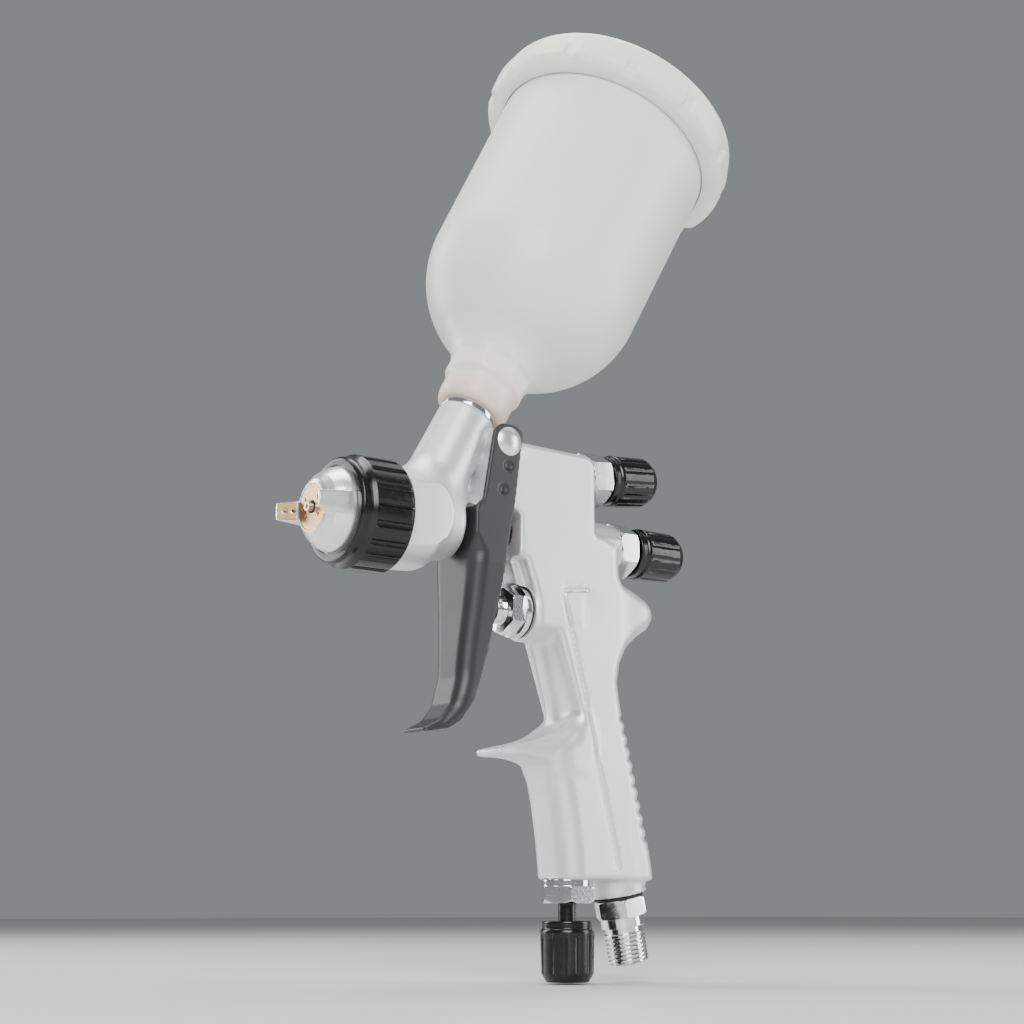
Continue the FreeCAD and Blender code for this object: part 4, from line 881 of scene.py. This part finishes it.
def make_stage(colour, strength):
    """A plain pale floor, soft studio lamps, a pale surround and the camera."""
    scene = bpy.context.scene
    low = cad_box[0].z - 0.0004
    reach = 4.0
    mesh = bpy.data.meshes.new("studio_floor")
    mesh.from_pydata([(-reach, -reach, low), (reach, -reach, low), (reach, reach, low),
                      (-reach, reach, low)], [], [(0, 1, 2, 3)])
    floor = bpy.data.objects.new("studio_floor", mesh)
    scene.collection.objects.link(floor)
    mesh.materials.append(surface("studio_paper", tuple(colour), 0.0, 0.5)[0])

    world = bpy.data.worlds.new("studio")
    scene.world = world
    world.use_nodes = True
    sky = world.node_tree.nodes["Background"]
    sky.inputs["Color"].default_value = linear("#CFD3D4")
    sky.inputs["Strength"].default_value = 0.38

    target = (-0.03, 0.0, 0.14)
    lamps = [
        ("key_softbox", (-0.75, -0.95, 0.75), 0.7, 0.9, 22.0),
        ("fill_softbox", (0.95, -0.75, 0.35), 0.5, 0.9, 9.0),
        ("top_softbox", (0.0, 0.15, 1.05), 0.9, 0.6, 12.0),
        ("rim_softbox", (-0.5, 0.95, 0.5), 0.3, 0.9, 8.0),
    ]
    for name, place, width, height, power in lamps:
        lamp = bpy.data.lights.new(name, "AREA")
        lamp.shape, lamp.size, lamp.size_y, lamp.energy = "RECTANGLE", width, height, power * strength
        holder = bpy.data.objects.new(name, lamp)
        scene.collection.objects.link(holder)
        aimed(holder, place, target)

    lens = bpy.data.cameras.new("camera")
    lens.sensor_width, lens.lens, lens.shift_y = 36.0, 65.95, 0.0932
    lens.clip_start = 0.01
    camera = bpy.data.objects.new("camera", lens)
    scene.collection.objects.link(camera)
    place = ZERO + MM * np.array((-346.3, -474.9, -118.8))
    heading, climb = math.radians(36.9), math.radians(9.14)
    ahead = np.array((math.sin(heading) * math.cos(climb), math.cos(heading) * math.cos(climb),
                      math.sin(climb)))
    aimed(camera, place, place + ahead)
    scene.camera = camera


# ---------------------------------------------------------------- add-on

def cell(name, piece, default, low, high):
    """The setting for a grid spacing."""
    return bpy.props.FloatProperty(
        name=name, description=f"Grid spacing of {piece} surface, in millimetres", default=default,
        min=low, max=high)


def tint(name, things, default):
    """The setting for a colour."""
    return bpy.props.FloatVectorProperty(
        name=name, description=f"Colour of {things}, in linear light", subtype="COLOR", size=4,
        default=linear(default), min=0.0, max=1.0)


class SprayGunSettings(bpy.types.PropertyGroup):
    """What a user would change."""
    casting_cell: cell("Casting cell", "the casting's", 0.5, 0.3, 2.0)
    sheet_cell: cell("Sheet cell", "the trigger's", 0.4, 0.25, 1.0)
    cap_cell: cell("Cap cell", "the air cap's", 0.2, 0.12, 0.5)
    knob_flutes: bpy.props.IntProperty(
        name="Knob flutes", description="How many flutes each knob has", default=12, min=6, max=24)
    lid_pads: bpy.props.IntProperty(
        name="Lid pads", description="How many raised pads the lid has", default=12, min=4, max=24)
    casting_colour: tint("Casting colour", "the blasted casting", "#DCDDDF")
    trigger_colour: tint("Trigger colour", "the coated trigger", "#242426")
    knob_colour: tint("Knob colour", "the knobs and the head's grip", "#070708")
    cup_colour: tint("Cup colour", "the cup and the lid", "#F1F1EB")
    floor_colour: tint("Floor colour", "the studio floor", "#D4D5D3")
    lamp_strength: bpy.props.FloatProperty(
        name="Lamp strength", description="Every lamp's power is multiplied by this",
        subtype="FACTOR", default=1.0, min=0.0, max=10.0)


def settings():
    """The scene's settings for the gun."""
    return bpy.context.scene.spray_gun


class SPRAYGUN_OT_casting(bpy.types.Operator):
    """Make the casting"""
    bl_idname = "spraygun.casting"
    bl_label = "Casting"

    def execute(self, context):
        make_casting(settings().casting_cell)
        return {"FINISHED"}


class SPRAYGUN_OT_trigger(bpy.types.Operator):
    """Make the trigger and the heads of its pivot"""
    bl_idname = "spraygun.trigger"
    bl_label = "Trigger"

    def execute(self, context):
        make_trigger(settings().sheet_cell)
        make_pivot()
        return {"FINISHED"}


class SPRAYGUN_OT_head(bpy.types.Operator):
    """Make the air cap, the retaining ring and its grip"""
    bl_idname = "spraygun.head"
    bl_label = "Spray Head"

    def execute(self, context):
        make_air_cap(settings().cap_cell)
        make_head_ring()
        return {"FINISHED"}


class SPRAYGUN_OT_controls(bpy.types.Operator):
    """Make the nuts and knobs of the three controls and the air valve's nut"""
    bl_idname = "spraygun.controls"
    bl_label = "Controls"

    def execute(self, context):
        make_controls()
        return {"FINISHED"}


class SPRAYGUN_OT_inlet(bpy.types.Operator):
    """Make the threaded air inlet"""
    bl_idname = "spraygun.inlet"
    bl_label = "Air Inlet"

    def execute(self, context):
        make_inlet()
        return {"FINISHED"}


class SPRAYGUN_OT_cup(bpy.types.Operator):
    """Make the cup, its nipple, the lid and the vent plug"""
    bl_idname = "spraygun.cup"
    bl_label = "Cup and Lid"

    def execute(self, context):
        make_cup()
        make_lid()
        return {"FINISHED"}


class SPRAYGUN_OT_inner_pieces(bpy.types.Operator):
    """Give the remaining CAD pieces their finishes"""
    bl_idname = "spraygun.inner_pieces"
    bl_label = "Inner Pieces"

    def execute(self, context):
        finish_cad_pieces()
        return {"FINISHED"}


class SPRAYGUN_OT_stage(bpy.types.Operator):
    """Make the floor, the lamps and the camera"""
    bl_idname = "spraygun.stage"
    bl_label = "Stage"

    def execute(self, context):
        make_stage(settings().floor_colour, settings().lamp_strength)
        return {"FINISHED"}


OPERATORS = (SPRAYGUN_OT_casting, SPRAYGUN_OT_trigger, SPRAYGUN_OT_head, SPRAYGUN_OT_controls,
             SPRAYGUN_OT_inlet, SPRAYGUN_OT_cup, SPRAYGUN_OT_inner_pieces, SPRAYGUN_OT_stage)


class SPRAYGUN_PT_panel(bpy.types.Panel):
    """Lists the gun's pieces"""
    bl_idname = "SPRAYGUN_PT_panel"
    bl_label = "Spray Gun"
    bl_space_type = "VIEW_3D"
    bl_region_type = "UI"
    bl_category = "Spray Gun"

    def draw(self, context):
        layout = self.layout
        for name in SprayGunSettings.__annotations__:
            layout.prop(context.scene.spray_gun, name)
        for operator in OPERATORS:
            layout.operator(operator.bl_idname)


CLASSES = (SprayGunSettings, *OPERATORS, SPRAYGUN_PT_panel)


def register():
    """Register the classes and the scene's settings."""
    for item in CLASSES:
        bpy.utils.register_class(item)
    bpy.types.Scene.spray_gun = bpy.props.PointerProperty(type=SprayGunSettings)


def unregister():
    """Take the settings and the classes away again."""
    del bpy.types.Scene.spray_gun
    for item in reversed(CLASSES):
        bpy.utils.unregister_class(item)


def main():
    """Make every piece and the stage."""
    register()
    for operator in OPERATORS:
        group, name = operator.bl_idname.split(".")
        getattr(getattr(bpy.ops, group), name)()


if __name__ == "__main__":
    main()
